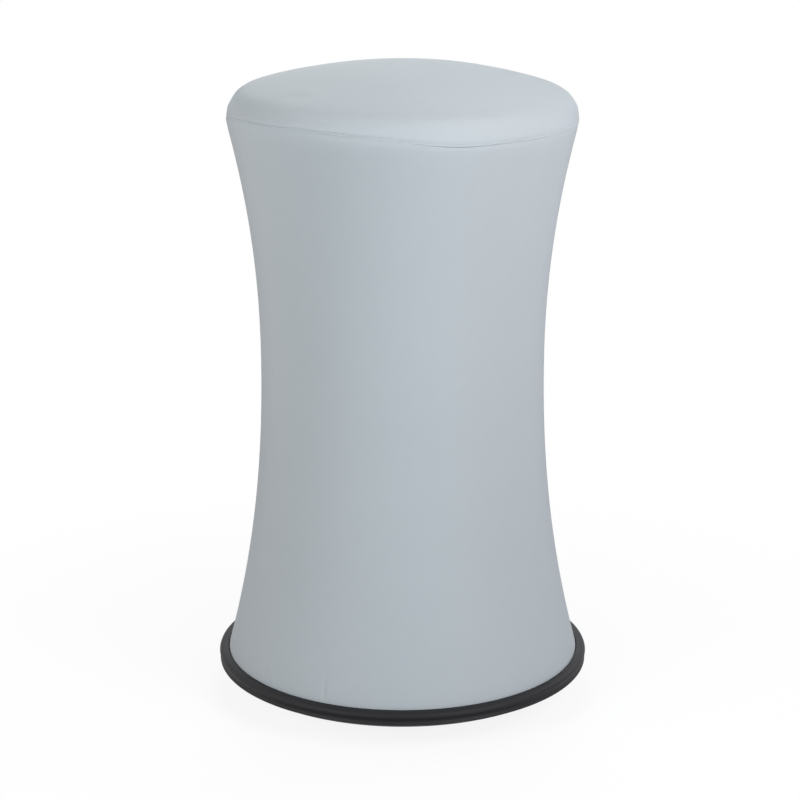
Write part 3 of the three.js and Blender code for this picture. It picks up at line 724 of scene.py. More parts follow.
def cord_along(graph, path, radius, corners):
    profile = circle(graph, radius, corners)
    return graph.node("GeometryNodeCurveToMesh", None, {"Curve": path, "Profile Curve": profile})


def joined(graph, shapes):
    """The shapes as one, shaded smooth."""
    join = graph.node("GeometryNodeJoinGeometry")
    for shape in shapes:
        graph.feed(join.socket.node.inputs[0], shape)
    return graph.node("GeometryNodeSetShadeSmooth", None, {"Geometry": join})


def ride(piece, body, slot, *nodes):
    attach(piece, body)
    if nodes:
        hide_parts(*nodes)


# Sleeve


def sleeve_shape(graph, given):
    """A wall that flares from the waist to the hem and to the seam, with a rolled lip on top.
    Across the grid is round the sleeve, and up the grid is up its outside and down its inside."""
    total = sum(SLEEVE_ROWS)
    outside, lip, inside = [sum(SLEEVE_ROWS[:i + 1]) / total for i in range(3)]
    grid = graph.node("GeometryNodeMeshGrid", None, {
        "Size X": 1, "Size Y": 1,
        "Vertices X": SLEEVE_COLUMNS + 1, "Vertices Y": total + 1,
    })
    place = own_place(graph)
    even = (place + 0.5) * math.tau
    turn = even - graph.sine(even - given["Crowding Turn"]) * given["Crowding"]
    along = place.output("Y") + 0.5
    up = (along / outside).clamped()
    over = ((along - outside) / (lip - outside)).clamped() * math.pi
    down = ((along - lip) / (inside - lip)).clamped()
    close = ((along - inside) / (1 - inside)).clamped()
    part = up ** given["Row Crowding"] * (1 - down)

    half = given["Thickness"] * 0.5
    wave = seam_wave(turn, graph.cosine) * part ** given["Wave Power"]
    top = given["Seam Height"] - given["Gap"] - half
    height = given["Foot Height"] + (top - given["Foot Height"]) * part + wave
    below = ((given["Waist Height"] - height)
             / (given["Waist Height"] - given["Hem Height"])).clamped()
    above = ((height - given["Waist Height"])
             / (given["Seam Height"] - given["Waist Height"])).clamped()
    radius = (
        given["Waist Radius"]
        + (given["Hem Radius"] - given["Waist Radius"]) * below ** given["Lower Flare"]
        + (given["Seam Radius"] - given["Waist Radius"]) * above ** given["Upper Flare"]
    )
    bands = graph.node("ShaderNodeTexNoise", {"noise_dimensions": "4D"}, {
        "Vector": around(graph, 1, turn, height * 1.2),
        "W": given["Seed"], "Scale": 3.2, "Detail": 1,
    })
    # The bands fade out towards the hem and the seam, which hold the fabric
    free = (1 - below ** 3) * (1 - above ** 3)
    radius = radius + (bands - 0.5) * 2 * given["Slack"] * free
    radius = radius - given["Tuck"] * part ** given["Tuck Power"]
    radius = radius - half * (1 - graph.cosine(over)) * (1 - close)
    height = height + half * graph.sine(over)

    mapped = graph.node(
        "GeometryNodeStoreNamedAttribute", {"data_type": "FLOAT2", "domain": "CORNER"}, {
            "Geometry": grid, "Name": "UVMap",
            "Value": graph.vector(turn * given["Waist Radius"], height, 0),
        })
    wall = placed(graph, mapped, around(graph, radius, turn, height))
    closed = graph.node(
        "GeometryNodeMergeByDistance", None, {"Geometry": wall, "Distance": 0.01 * MM})
    return graph.node("GeometryNodeSetShadeSmooth", None, {"Geometry": closed})


def pucker(mesh):
    """Small pulls in the knit where the hem goes in behind the rim."""
    for vertex in mesh.vertices:
        x, y, z = vertex.co
        turn = math.atan2(y, x)
        radius = math.hypot(x, y)
        pull = 0
        for middle, height, width, length, depth in HEM_PUCKERS:
            aside = (turn - middle) * radius / width
            level = (z - height) / length
            if max(abs(aside), abs(level)) < PUCKER_REACH:
                pull += depth * math.exp(-aside ** 2 - level ** 2)
        if pull:
            vertex.co.x -= pull * x / radius
            vertex.co.y -= pull * y / radius


class STOOL_OT_sleeve(Operator):
    """Makes the stretch sleeve"""
    bl_idname = "wobble_stool.sleeve"
    bl_label = "Make sleeve"

    def execute(self, context):
        fabric = context.scene.wobble_stool.fabric
        surface = fabric_material(
            fabric, "fabric_sleeve",
            lambda graph: graph.node("ShaderNodeUVMap", {"uv_map": "UVMap"}))
        sleeve = grown("sleeve_fabric", sleeve_shape, {
            "Hem Radius": HEM_RADIUS,
            "Waist Radius": fabric.waist_radius,
            "Seam Radius": SEAM_RADIUS,
            "Foot Height": SLEEVE_FOOT,
            "Hem Height": HEM_HEIGHT,
            "Waist Height": fabric.waist_height,
            "Seam Height": SEAM_HEIGHT,
            "Lower Flare": fabric.lower_flare,
            "Upper Flare": fabric.upper_flare,
            "Thickness": fabric.thickness,
            "Gap": LIP_GAP,
            "Slack": fabric.slack,
            "Tuck": SEAM_TUCK,
            "Tuck Power": 90.0,
            "Wave Power": 9.0,
            "Row Crowding": 1.35,
            "Crowding": 0.55,
            "Crowding Turn": -2.2,
            "Seed": 4.0,
        }, surface)
        pucker(sleeve.data)
        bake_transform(sleeve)
        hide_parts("sleeve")
        return {"FINISHED"}


# Drawcord in the hem


def drawcord_shape(graph, given):
    """Three strands laid round each other in a ring."""
    place = own_place(graph)
    turn = graph.math("ARCTAN2", place.output("Y"), place)
    strands = []
    for i in range(STRANDS):
        lay = turn * given["Turns"] + math.tau * i / STRANDS
        radius = given["Circle"] + graph.cosine(lay) * given["Lay Radius"]
        height = given["Height"] + graph.sine(lay) * given["Lay Radius"]
        ring = circle(graph, given["Circle"], corners=960)
        laid = placed(graph, ring, around(graph, radius, turn, height))
        strands.append(cord_along(graph, laid, given["Strand Radius"], corners=6))
    return joined(graph, strands)


class STOOL_OT_drawcord(Operator):
    """Makes the drawcord that holds the hem under its ring"""
    bl_idname = "wobble_stool.drawcord"
    bl_label = "Make drawcord"

    # As shares of the cord's radius: how far its middle lies in from its outer edge, and the
    # radii of the ring that a strand's middle runs on and of a strand
    inwards = 1.2
    lay_radius = 0.54
    strand_radius = 0.45

    def execute(self, context):
        low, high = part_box("hem_drawcord")
        half = (high.z - low.z) / 2
        cord = grown("hem_drawcord_lay", drawcord_shape, {
            "Circle": DRAWCORD_RADIUS - half * self.inwards,
            "Height": DRAWCORD_HEIGHT,
            "Lay Radius": half * self.lay_radius,
            "Strand Radius": half * self.strand_radius,
            "Turns": 120,
        }, cord_material())
        ride(cord, "swivel", "cord", "hem_drawcord")
        return {"FINISHED"}


# Seat


def crown_height(seat, part):
    """Height of the crown at a share of its radius: a dome with a rolled edge."""
    edge = max(1 - part ** seat.edge_power, 0) ** seat.edge_softness
    dome = 1 - part ** 2
    slope = seat.slope_share
    return COVER_LEVEL + seat.crown_rise * ((1 - slope) * edge + slope * dome)


def roll_depth(seat, height):
    """How far down the roll a height is: 0 at its top and above, and 1 at the cover's edge."""
    return max(1 - (height - COVER_LEVEL) / seat.roll_height, 0)


def crown_outline(seat, steps):
    """The cap's outline from its edge up to its middle, with the roll swelling over the edge."""
    outline = []
    for i in range(steps, 0, -1):
        part = math.sin(i / steps * math.pi / 2)
        height = crown_height(seat, part)
        under = roll_depth(seat, height)
        bulge = seat.roll_bulge * (HUMP_SCALE * under ** 2 * (1 - under) - under ** EDGE_POWER)
        radius = (SEAM_RADIUS - SEAM_TUCK / 2) * part + bulge
        outline.append(Vector((radius, height)))
    return [*outline, Vector((0, COVER_LEVEL + seat.crown_rise))]


def smoothstep(value, start, end):
    """0 at the start and 1 at the end, with a gentle rise between."""
    part = min(max((value - start) / (end - start), 0), 1)
    return part * part * (3 - 2 * part)


def facing(turn, middle):
    """1 at the middle turn, falling to 0 on the far side."""
    return 0.5 + 0.5 * math.cos(turn - middle)


def slumped(seat, turn, part):
    """How far the shoulder has sunk at a turn and a share of the crown's radius."""
    side = facing(turn, SLUMP_TURN) ** 2
    return seat.slump * side * smoothstep(part, *SLUMP_ONSET) * (1 - smoothstep(part, *SLUMP_END))


def tucked(seat, turn, height):
    """How far the roll is drawn in at the front, where the stitching pulls it lowest."""
    side = facing(turn, TUCK_TURN) ** 3
    return seat.front_tuck * side * roll_depth(seat, height) ** 2


def runs(outline):
    """The outline's points, each with the unit direction in which the outline runs there."""
    for i, point in enumerate(outline):
        before = outline[max(i - 1, 0)]
        after = outline[min(i + 1, len(outline) - 1)]
        yield point, (after - before).normalized()


def directions(outline):
    """Unit directions square to the outline, as across and up."""
    return [
        Vector((run.y, -run.x)) if point.x else Vector((0, 1))
        for point, run in runs(outline)
    ]


def inset(outline, depth):
    """The outline moved inwards, square to itself, by the depth that a point gives."""
    moved = []
    for point, run in runs(outline):
        away = depth(point)
        if point.x == 0:
            moved.append(Vector((0, point.y - away)))
        else:
            moved.append(Vector((max(point.x - away * run.y, 0.0), point.y + away * run.x)))
    return moved


def slack_share(point):
    """How far inside its finished size the slack cushion starts, as a share of its give: in at
    the crown, which swells, and out at the shoulder, which the swelling draws in."""
    shoulder = smoothstep(point.x / SEAM_RADIUS, *SHOULDER_SHARES)
    low, high = [COVER_LEVEL + height for height in SLACK_ONSET]
    return (1 - 2 * shoulder) * smoothstep(point.y, low, high)


def swell(slack_outline, give):
    """Blows the slack cushion up as cloth, and gives the way its surface moved."""
    foot = COVER_LEVEL - TRIAL_FOOT
    outline = [Vector((0, foot)), Vector((slack_outline[0].x, foot)), *slack_outline]
    cushion = turned("cushion_trial", outline, None, TRIAL_COLUMNS)
    remesh = cushion.modifiers.new("Remesh", "REMESH")
    remesh.mode = "VOXEL"
    remesh.voxel_size = VOXEL
    mesh = evaluated_mesh(cushion)
    rest = [vertex.co.copy() for vertex in mesh.vertices]
    pinned = cushion.vertex_groups.new(name="pinned")
    held = [i for i, co in enumerate(rest) if co.z < COVER_LEVEL + TRIAL_HOLD]
    pinned.add(held, 1, "REPLACE")
    cloth = cushion.modifiers.new("Cloth", "CLOTH")
    cloth.settings.vertex_group_mass = "pinned"
    cloth.settings.use_pressure = True
    cloth.settings.uniform_pressure_force = PRESSURE
    cloth.settings.effector_weights.gravity = 0
    cloth.point_cache.frame_start = 1
    cloth.point_cache.frame_end = FRAMES
    scene = bpy.context.scene
    for step in range(1, FRAMES + 1):
        scene.frame_set(step)
    moved = cushion.evaluated_get(bpy.context.evaluated_depsgraph_get()).data.vertices
    shifts = []
    for start, vertex in zip(rest, moved):
        shift = vertex.co - start
        shifts.append(shift if shift.length <= give else shift.normalized() * give)
    cushion.modifiers.clear()
    scene.frame_set(1)
    for vertex, start, shift in zip(mesh.vertices, rest, shifts):
        vertex.co = start + shift
    finer = cushion.modifiers.new("Subdivision", "SUBSURF")
    finer.levels = finer.render_levels = 1
    evaluated_mesh(cushion)
    tree = BVHTree.FromPolygons(
        [vertex.co for vertex in cushion.data.vertices],
        [list(face.vertices) for face in cushion.data.polygons])
    bpy.data.objects.remove(cushion)
    return tree


class STOOL_OT_seat_foam(Operator):
    """Makes the domed foam that lies on the seat board"""
    bl_idname = "wobble_stool.seat_foam"
    bl_label = "Make seat foam"

    rows = 40
    # How far the foot lies in from the side, its bevel across and up, and how much of it is level
    foot_inset = 1.2 * MM
    bevel = (2 * MM, 1 * MM)
    level_foot = 2 * MM

    def execute(self, context):
        stool = context.scene.wobble_stool
        foot = BOARD_TOP + SEAT_GAP
        under_cover = stool.fabric.thickness + SEAT_GAP + SAG
        outline = inset(crown_outline(stool.seat, self.rows), lambda point: under_cover)
        above = [point for point in outline if point.y > foot + stool.fabric.thickness]
        bottom = above[0].x - self.foot_inset
        across, up = self.bevel
        foam = turned("seat_foam_block", [
            Vector((0, foot)), Vector((bottom - across, foot)), Vector((bottom, foot + up)),
            *above,
        ], foam_material(stool.seat))
        for vertex in foam.data.vertices:
            x, y, z = vertex.co
            if z > foot + self.level_foot:
                turn = math.atan2(y, x)
                radius = math.hypot(x, y)
                inwards = 1 - tucked(stool.seat, turn, z) / max(radius, MM)
                vertex.co = Vector((
                    x * inwards, y * inwards,
                    z - slumped(stool.seat, turn, radius / SEAM_RADIUS)))
        ride(foam, "seat", "foam", "seat_foam")
        return {"FINISHED"}


class STOOL_OT_seat_cover(Operator):
    """Makes the padded cap of the seat, blown up as cloth and sewn in at its edge"""
    bl_idname = "wobble_stool.seat_cover"
    bl_label = "Make seat cover"

    rows = 72
    columns = 256
    # How deep under the slack outline the measuring starts, and how often it is evened out
    depth = 6 * MM
    evenings = 6
    # Height over which the seam's waves fade out of the cap
    wave_height = 22 * MM
    # Steps round the lip, and rows of the face for each row of the inner face
    lip_steps = 8
    inner_step = 4

    def execute(self, context):
        stool = context.scene.wobble_stool
        seat = stool.seat
        finished = crown_outline(seat, self.rows)
        start = inset(finished, lambda point: seat.give * slack_share(point))
        lifts = [[seat.give * slack_share(point)] * self.columns for point in finished]
        lifts = self.measure(start, swell(start, seat.give))
        outside = self.place(seat, finished, start, lifts)
        surface = fabric_material(stool.fabric, "fabric_cover", object_place)
        cover = self.sew(outside, stool.fabric.thickness, surface)
        ride(cover, "seat", "fabric", "seat_cover")
        return {"FINISHED"}

    def measure(self, start, tree):
        """How far the blown-up cushion stands off the slack outline, evened out."""
        lifts = []
        for point, out in zip(start, directions(start)):
            row = []
            for i in range(self.columns):
                side = at(1, math.tau * i / self.columns, 0)
                way = side * out.x + Vector((0, 0, out.y))
                origin = side * point.x + Vector((0, 0, point.y)) - way * self.depth
                hit = tree.ray_cast(origin, way, 4 * self.depth)[0]
                row.append((hit - origin).length - self.depth if hit else 0)
            lifts.append(row)
        for _ in range(self.evenings):
            lifts = self.evened(lifts)
        return lifts

    def evened(self, lifts):
        """Each lift averaged with its four neighbours, and the crown's middle with its row."""
        last = len(lifts) - 1
        even = []
        for j, row in enumerate(lifts):
            above = lifts[min(j + 1, last)]
            below = lifts[max(j - 1, 0)]
            even.append([
                (row[i] * 2 + row[i - 1] + row[(i + 1) % self.columns] + above[i] + below[i]) / 6
                for i in range(self.columns)
            ])
        middle = sum(even[last]) / self.columns
        even[last] = [middle] * self.columns
        return even

    def place(self, seat, finished, start, lifts):
        """Points of the cap's face, held to its sewn edge and close to its finished size."""
        rows = []
        for point, slack_point, out, row in zip(finished, start, directions(start), lifts):
            ring = []
            room = (point - slack_point).dot(out)
            for i, lift in enumerate(row):
                turn = math.tau * i / self.columns
                moved = slack_point + out * min(max(lift, room - SAG), room + STRAIN)
                edge = min(max((point.y - COVER_LEVEL) / self.wave_height, 0), 1)
                wave = seam_wave(turn, math.cos) * (1 - edge) ** 2
                height = moved.y + wave - slumped(seat, turn, moved.x / SEAM_RADIUS)
                radius = moved.x - tucked(seat, turn, moved.y)
                ring.append(at(radius, turn, height))
            rows.append(ring)
        return rows

    def sew(self, outside, wall, surface):
        """Closes the cap: a lip rolled in at the seam and the fabric's inner face."""
        half = wall / 2
        lip = []
        for step in range(1, self.lip_steps + 1):
            angle = math.pi * step / self.lip_steps
            ring = []
            for point in outside[0]:
                side = Vector((point.x, point.y, 0)).normalized()
                rim = math.hypot(point.x, point.y)
                wave = seam_wave(math.atan2(point.y, point.x), math.cos)
                level = SEAM_HEIGHT + LIP_GAP + half + wave
                ring.append(
                    side * (rim - half + half * math.cos(angle))
                    + Vector((0, 0, level - half * math.sin(angle))))
            lip.append(ring)
        flat = [Vector((ring[0].x, ring[0].z)) for ring in outside]
        ways = directions(flat)
        inner = [
            [point - self.square(point, flat, ways) * wall for point in ring]
            for ring in outside[self.inner_step:-1:self.inner_step]
        ]
        shape = bmesh.new()
        rings = [*reversed(inner), *reversed(lip), *outside[:-1]]
        made = [[shape.verts.new(point) for point in ring] for ring in rings]
        crown = shape.verts.new(sum(outside[-1], Vector()) / self.columns)
        under = shape.verts.new(crown.co - Vector((0, 0, wall)))
        for low, high in zip(made, made[1:]):
            for i in range(self.columns):
                shape.faces.new((low[i - 1], low[i], high[i], high[i - 1]))
        for i in range(self.columns):
            shape.faces.new((made[-1][i - 1], made[-1][i], crown))
            shape.faces.new((made[0][i], made[0][i - 1], under))
        mesh = bpy.data.meshes.new("seat_cover_cap")
        shape.to_mesh(mesh)
        shape.free()
        mesh.materials.append(surface)
        cover = link("seat_cover_cap", mesh)
        smooth(cover, angle=60)
        return cover

    def square(self, point, flat, ways):
        """The way out of the cap at a point, as the outline's nearest point has it."""
        radius = math.hypot(point.x, point.y)
        nearest = min(range(len(flat)), key=lambda i: abs(flat[i].x - radius))
        side = Vector((point.x, point.y, 0)) / radius
        return side * ways[nearest].x + Vector((0, 0, ways[nearest].y))


# Seam


def seam_shape(graph, given):
    """The rolled seam allowance that shows in the groove, with stitches across it."""
    place = own_place(graph)
    turn = graph.math("ARCTAN2", place.output("Y"), place)
    front = (graph.cosine(turn - RIDGE_TURN) * 0.5 + 0.5) ** RIDGE_POWER
    radius = given["Circle"] + front * given["Ridge"]
    height = given["Height"] + seam_wave(turn, graph.cosine)
    ring = circle(graph, given["Circle"], corners=480)
    sewn = placed(graph, ring, around(graph, radius, turn, height))
    cord = cord_along(graph, sewn, given["Cord Radius"], corners=10)
    points = graph.node(
        "GeometryNodeCurveToPoints", {"mode": "COUNT"},
        {"Curve": sewn, "Count": given["Stitches"]})
    along = graph.node(
        "ShaderNodeVectorMath", {"operation": "MULTIPLY_ADD"},
        {0: points.output("Tangent"), 1: [STITCH_LEAN] * 3, 2: (0, 0, 1)})
    across = graph.node(
        "FunctionNodeAlignRotationToVector", {"axis": "Z"}, {"Vector": along})
    thread = graph.node(
        "GeometryNodeMeshUVSphere", None, {"Segments": 6, "Rings": 4, "Radius": 0.5})
    outwards = graph.node(
        "ShaderNodeVectorMath", {"operation": "NORMALIZE"},
        {0: graph.node("GeometryNodeInputPosition")})
    proud_of_cord = graph.node(
        "ShaderNodeVectorMath", {"operation": "SCALE"},
        {0: outwards, "Scale": given["Cord Radius"] * STITCH_STANDOUT})
    raised = graph.node(
        "GeometryNodeSetPosition", None, {"Geometry": points, "Offset": proud_of_cord})
    stitches = graph.node("GeometryNodeInstanceOnPoints", None, {
        "Points": raised, "Instance": thread, "Rotation": across,
        "Scale": graph.vector(given["Thread"], given["Thread"], given["Stitch Length"]),
    })
    return joined(graph, [cord, stitches])


class STOOL_OT_seat_seam(Operator):
    """Makes the sewn edge between the cap and the sleeve"""
    bl_idname = "wobble_stool.seat_seam"
    bl_label = "Make seat seam"

    def execute(self, context):
        stool = context.scene.wobble_stool
        seam = stool.seam
        middle = SEAM_RADIUS - SEAM_TUCK - seam.depth - seam.cord_radius
        sewn = grown("seat_seam_sewn", seam_shape, {
            "Circle": middle,
            "Height": SEAM_HEIGHT,
            "Cord Radius": seam.cord_radius,
            "Ridge": seam.ridge,
            "Stitches": round(math.tau * middle / seam.stitch_pitch),
            "Stitch Length": seam.stitch_length,
            "Thread": seam.thread,
        }, fabric_material(stool.fabric, "fabric_seam", object_place))
        ride(sewn, "seat", "fabric", "seat_seam")
        return {"FINISHED"}


# Base


class STOOL_OT_tread_ring(Operator):
    """Makes the rubber ring that holds the hem and rolls on the floor"""
    bl_idname = "wobble_stool.tread_ring"
    bl_label = "Make tread ring"

    # Shares across and up from the tread's edge to the rim, then softness in millimetres
    band_shares = [(0.967, 0.465, 0.7), (0.83, 0.675, 0.4)]
    # Shares in and up from the rim to the flange's inner edge, then softness in millimetres
    flange_shares = [(0.1, 0.5, 0.7), (0.36, 0.86, 1.2)]
    # How far in from the tread's edge its turn starts, and the softness there and at fine corners
    tread_turn = 5 * MM
    tread_softness = 3.5 * MM
    fine = 0.4 * MM

    def execute(self, context):
        base = context.scene.wobble_stool.base
        wall = RIM_RADIUS - base.rim_width
        inner = wall - base.reach
        edge = wall - base.edge_inset
        rim = HEM_HEIGHT - base.rim_drop
        edge_height = underside_height(base, edge, 0)
        tread = underside_run(base, inner, edge - self.tread_turn, lift=0, steps=10)
        tread[0] = eased(tread[0], self.fine)
        tread.append((edge, edge_height, self.tread_softness))
        band = [
            (edge + (RIM_RADIUS - edge) * across, edge_height + (rim - edge_height) * up, soft * MM)
            for across, up, soft in self.band_shares
        ]
        groove_foot = rim - base.groove_drop - base.groove_width
        groove = [
            (RIM_RADIUS - base.groove_depth, groove_foot, self.fine),
            (RIM_RADIUS - base.groove_depth, rim - base.groove_drop, self.fine),
            (RIM_RADIUS - base.groove_width / 2, rim - base.groove_width, 0.8 * MM),
        ]
        flange = [
            (RIM_RADIUS - (RIM_RADIUS - wall) * inwards, rim + base.rim_drop * up, soft * MM)
            for inwards, up, soft in self.flange_shares
        ]
        top = underside_run(base, wall, inner, base.thickness, steps=12)
        top[0] = eased(top[0], 0.3 * MM)
        top[-1] = eased(top[-1], self.fine)
        outline = softened([
            *tread, *band, *groove, (RIM_RADIUS, rim, 0.6 * MM), *flange,
            (wall, HEM_HEIGHT, 0.9 * MM), *top,
        ])
        ring = turned("tread_ring_rubber", outline, rubber_material(base), columns=288)
        ride(ring, "base", "rubber", "tread_ring")
        return {"FINISHED"}


class STOOL_OT_sole_pad(Operator):
    """Makes the rubber sole, with rings of grip cut in it"""
    bl_idname = "wobble_stool.sole_pad"
    bl_label = "Make sole pad"

    groove_width = 3 * MM
    groove_depth = 1.4 * MM

    def execute(self, context):
        base = context.scene.wobble_stool.base
        pitch = SOLE_RADIUS / (base.sole_grooves + 0.5)
        deep = self.groove_depth
        outline = [(0, 0, 0)]
        for i in range(1, base.sole_grooves + 1):
            start = pitch * i - self.groove_width / 2
            end = start + self.groove_width
            outline += [
                (start, underside_height(base, start, 0), 0.4 * MM),
                (start + deep / 3, underside_height(base, start, deep), 0.3 * MM),
                (end - deep / 3, underside_height(base, end, deep), 0.3 * MM),
                (end, underside_height(base, end, 0), 0.4 * MM),
            ]
        rim = underside_height(base, SOLE_RADIUS, 0)
        outline += [(SOLE_RADIUS, rim, 0.8 * MM)]
        top = underside_run(base, SOLE_RADIUS, base.flat_radius, base.sole_thickness, steps=6)
        outline += [eased(top[0], 0.4 * MM), *top[1:], (0, base.sole_thickness, 0)]
        rubber = bpy.data.materials["rubber"]
        sole = turned("sole_pad_rubber", softened(outline, steps=2), rubber)
        ride(sole, "base", "rubber", "sole_pad")
        return {"FINISHED"}


class STOOL_OT_rocker_shell(Operator):
    """Makes the moulded dish with its hub, rail, ribs and screw holes"""
    bl_idname = "wobble_stool.rocker_shell"
    bl_label = "Make rocker shell"

    floor_lift = 9 * MM
    shelf_thickness = 2.8 * MM
    rail_thickness = 4 * MM
    hub_radius = 60 * MM
    hub_height = 16 * MM
    rib_thickness = 5 * MM
    # How far the ribs run into the hub and the floor, and stay below the ballast's top
    hub_overlap = 4 * MM
    floor_overlap = 2 * MM
    rib_drop = 3 * MM
    sole_standout = 1 * MM
    # Width of the hem ring, which runs round the rail
    hem_ring_width = 5.7 * MM
    screw_radius = 3 * MM
    bolt_radius = 4 * MM
    hole_clearance = 0.4 * MM
    drill_length = 30 * MM

    def execute(self, context):
        base = context.scene.wobble_stool.base
        rail = HEM_RING_RADIUS - self.hem_ring_width - RUNNING_GAP
        shell = turned("rocker_shell_moulding", self.outline(base, rail), moulding_material(base))
        self.work(shell, "UNION", self.ribs(base, rail))
        self.work(shell, "DIFFERENCE", self.holes())
        smooth(shell)
        ride(shell, "base", "moulded_base", "rocker_shell")
        return {"FINISHED"}

    def outline(self, base, rail):
        pocket = SOLE_RADIUS + SEAT_GAP
        flange = RIM_RADIUS - base.rim_width - base.reach - SEAT_GAP
        lift = base.thickness + SEAT_GAP
        shelf = underside_height(base, SHELL_RADIUS, lift) + self.shelf_thickness
        inner = rail - self.rail_thickness
        bottom = base.sole_thickness + SEAT_GAP
        return softened([
            (0, bottom, 0),
            *underside_run(base, base.flat_radius, pocket, bottom, steps=8),
            *underside_run(base, pocket, flange, self.sole_standout, steps=10),
            *underside_run(base, flange, SHELL_RADIUS, lift, steps=8),
            (SHELL_RADIUS, shelf, 0.3 * MM),
            (rail, shelf, 0.5 * MM),
            (rail, SHELL_TOP, 0.8 * MM),
            (inner, SHELL_TOP, 0.8 * MM),
            *underside_run(base, inner, self.hub_radius, self.floor_lift, steps=16),
            (self.hub_radius, self.hub_height, 0.8 * MM),
            (0, self.hub_height, 0),
        ])

    def ribs(self, base, rail):
        """Four plates from the hub to the rail, let into the dish's floor."""
        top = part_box("ballast_weight_1")[1].z - self.rib_drop
        start = self.hub_radius - self.hub_overlap
        end = rail - self.rail_thickness / 2
        run = underside_run(base, start, end, self.floor_lift - self.floor_overlap, steps=8)
        side = [(radius, height) for radius, height, _ in run]
        side += [(end, top), (self.hub_radius, top), (start, self.hub_height)]
        half = self.rib_thickness / 2
        shape = bmesh.new()
        for i in range(4):
            outwards = at(1, math.pi / 4 + math.pi / 2 * i, 0)
            aside = Vector((-outwards.y, outwards.x, 0))
            faces = [
                [shape.verts.new(outwards * x + aside * half * way + Vector((0, 0, z)))
                 for x, z in side]
                for way in (-1, 1)
            ]
            shape.faces.new(faces[0])
            shape.faces.new(reversed(faces[1]))
            for j in range(len(side)):
                shape.faces.new((faces[0][j], faces[0][j - 1], faces[1][j - 1], faces[1][j]))
        bmesh.ops.recalc_face_normals(shape, faces=shape.faces)
        return self.tool(shape)

    def holes(self):
        """Blind holes for the ballast screws and for the bolts of the column's socket."""
        shape = bmesh.new()
        screws = [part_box(f"ballast_screw_{i}") for i in range(1, 5)]
        bolts = [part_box(f"socket_bolt_{i}") for i in range(1, 5)]
        for radius, boxes in ((self.screw_radius, screws), (self.bolt_radius, bolts)):
            wide = radius + self.hole_clearance
            for low, high in boxes:
                middle = (low + high) / 2
                level = low.z - SEAT_GAP + self.drill_length / 2
                made = bmesh.ops.create_cone(
                    shape, cap_ends=True, segments=32, depth=self.drill_length, radius1=wide,
                    radius2=wide)
                bmesh.ops.translate(shape, verts=made["verts"], vec=(middle.x, middle.y, level))
        return self.tool(shape)

    def tool(self, shape):
        mesh = bpy.data.meshes.new("shell_tool")
        shape.to_mesh(mesh)
        shape.free()
        return link("shell_tool", mesh)

    def work(self, shell, operation, tool):
        joint = shell.modifiers.new("Boolean", "BOOLEAN")
        joint.operation = operation
        joint.object = tool
        joint.solver = "EXACT"
        evaluated_mesh(shell)
        bpy.data.objects.remove(tool)


# Pieces that keep the frame's own shape


class STOOL_OT_hardware(Operator):
    """Gives the lift, the ballast, the board and the release their finishes"""
    bl_idname = "wobble_stool.hardware"
    bl_label = "Finish hardware"

    def execute(self, context):
        finishes = {
            "ballast": cast_iron_material(),
            "black_steel": black_steel_material(),
            "bright_steel": bright_steel_material(),
            "chrome": chrome_material(),
            "acetal": acetal_material(),
            "plywood": plywood_material(),
            "rubber": bpy.data.materials["rubber"],
            "moulded_base": bpy.data.materials["moulded_base"],
        }
        for part in frame["record"]["subparts"]:
            piece = frame["nodes"][part["node"]]
            if not piece.hide_render:
                piece.data.materials.clear()
                piece.data.materials.append(finishes[part["material_slot"]])
        return {"FINISHED"}


# Stage


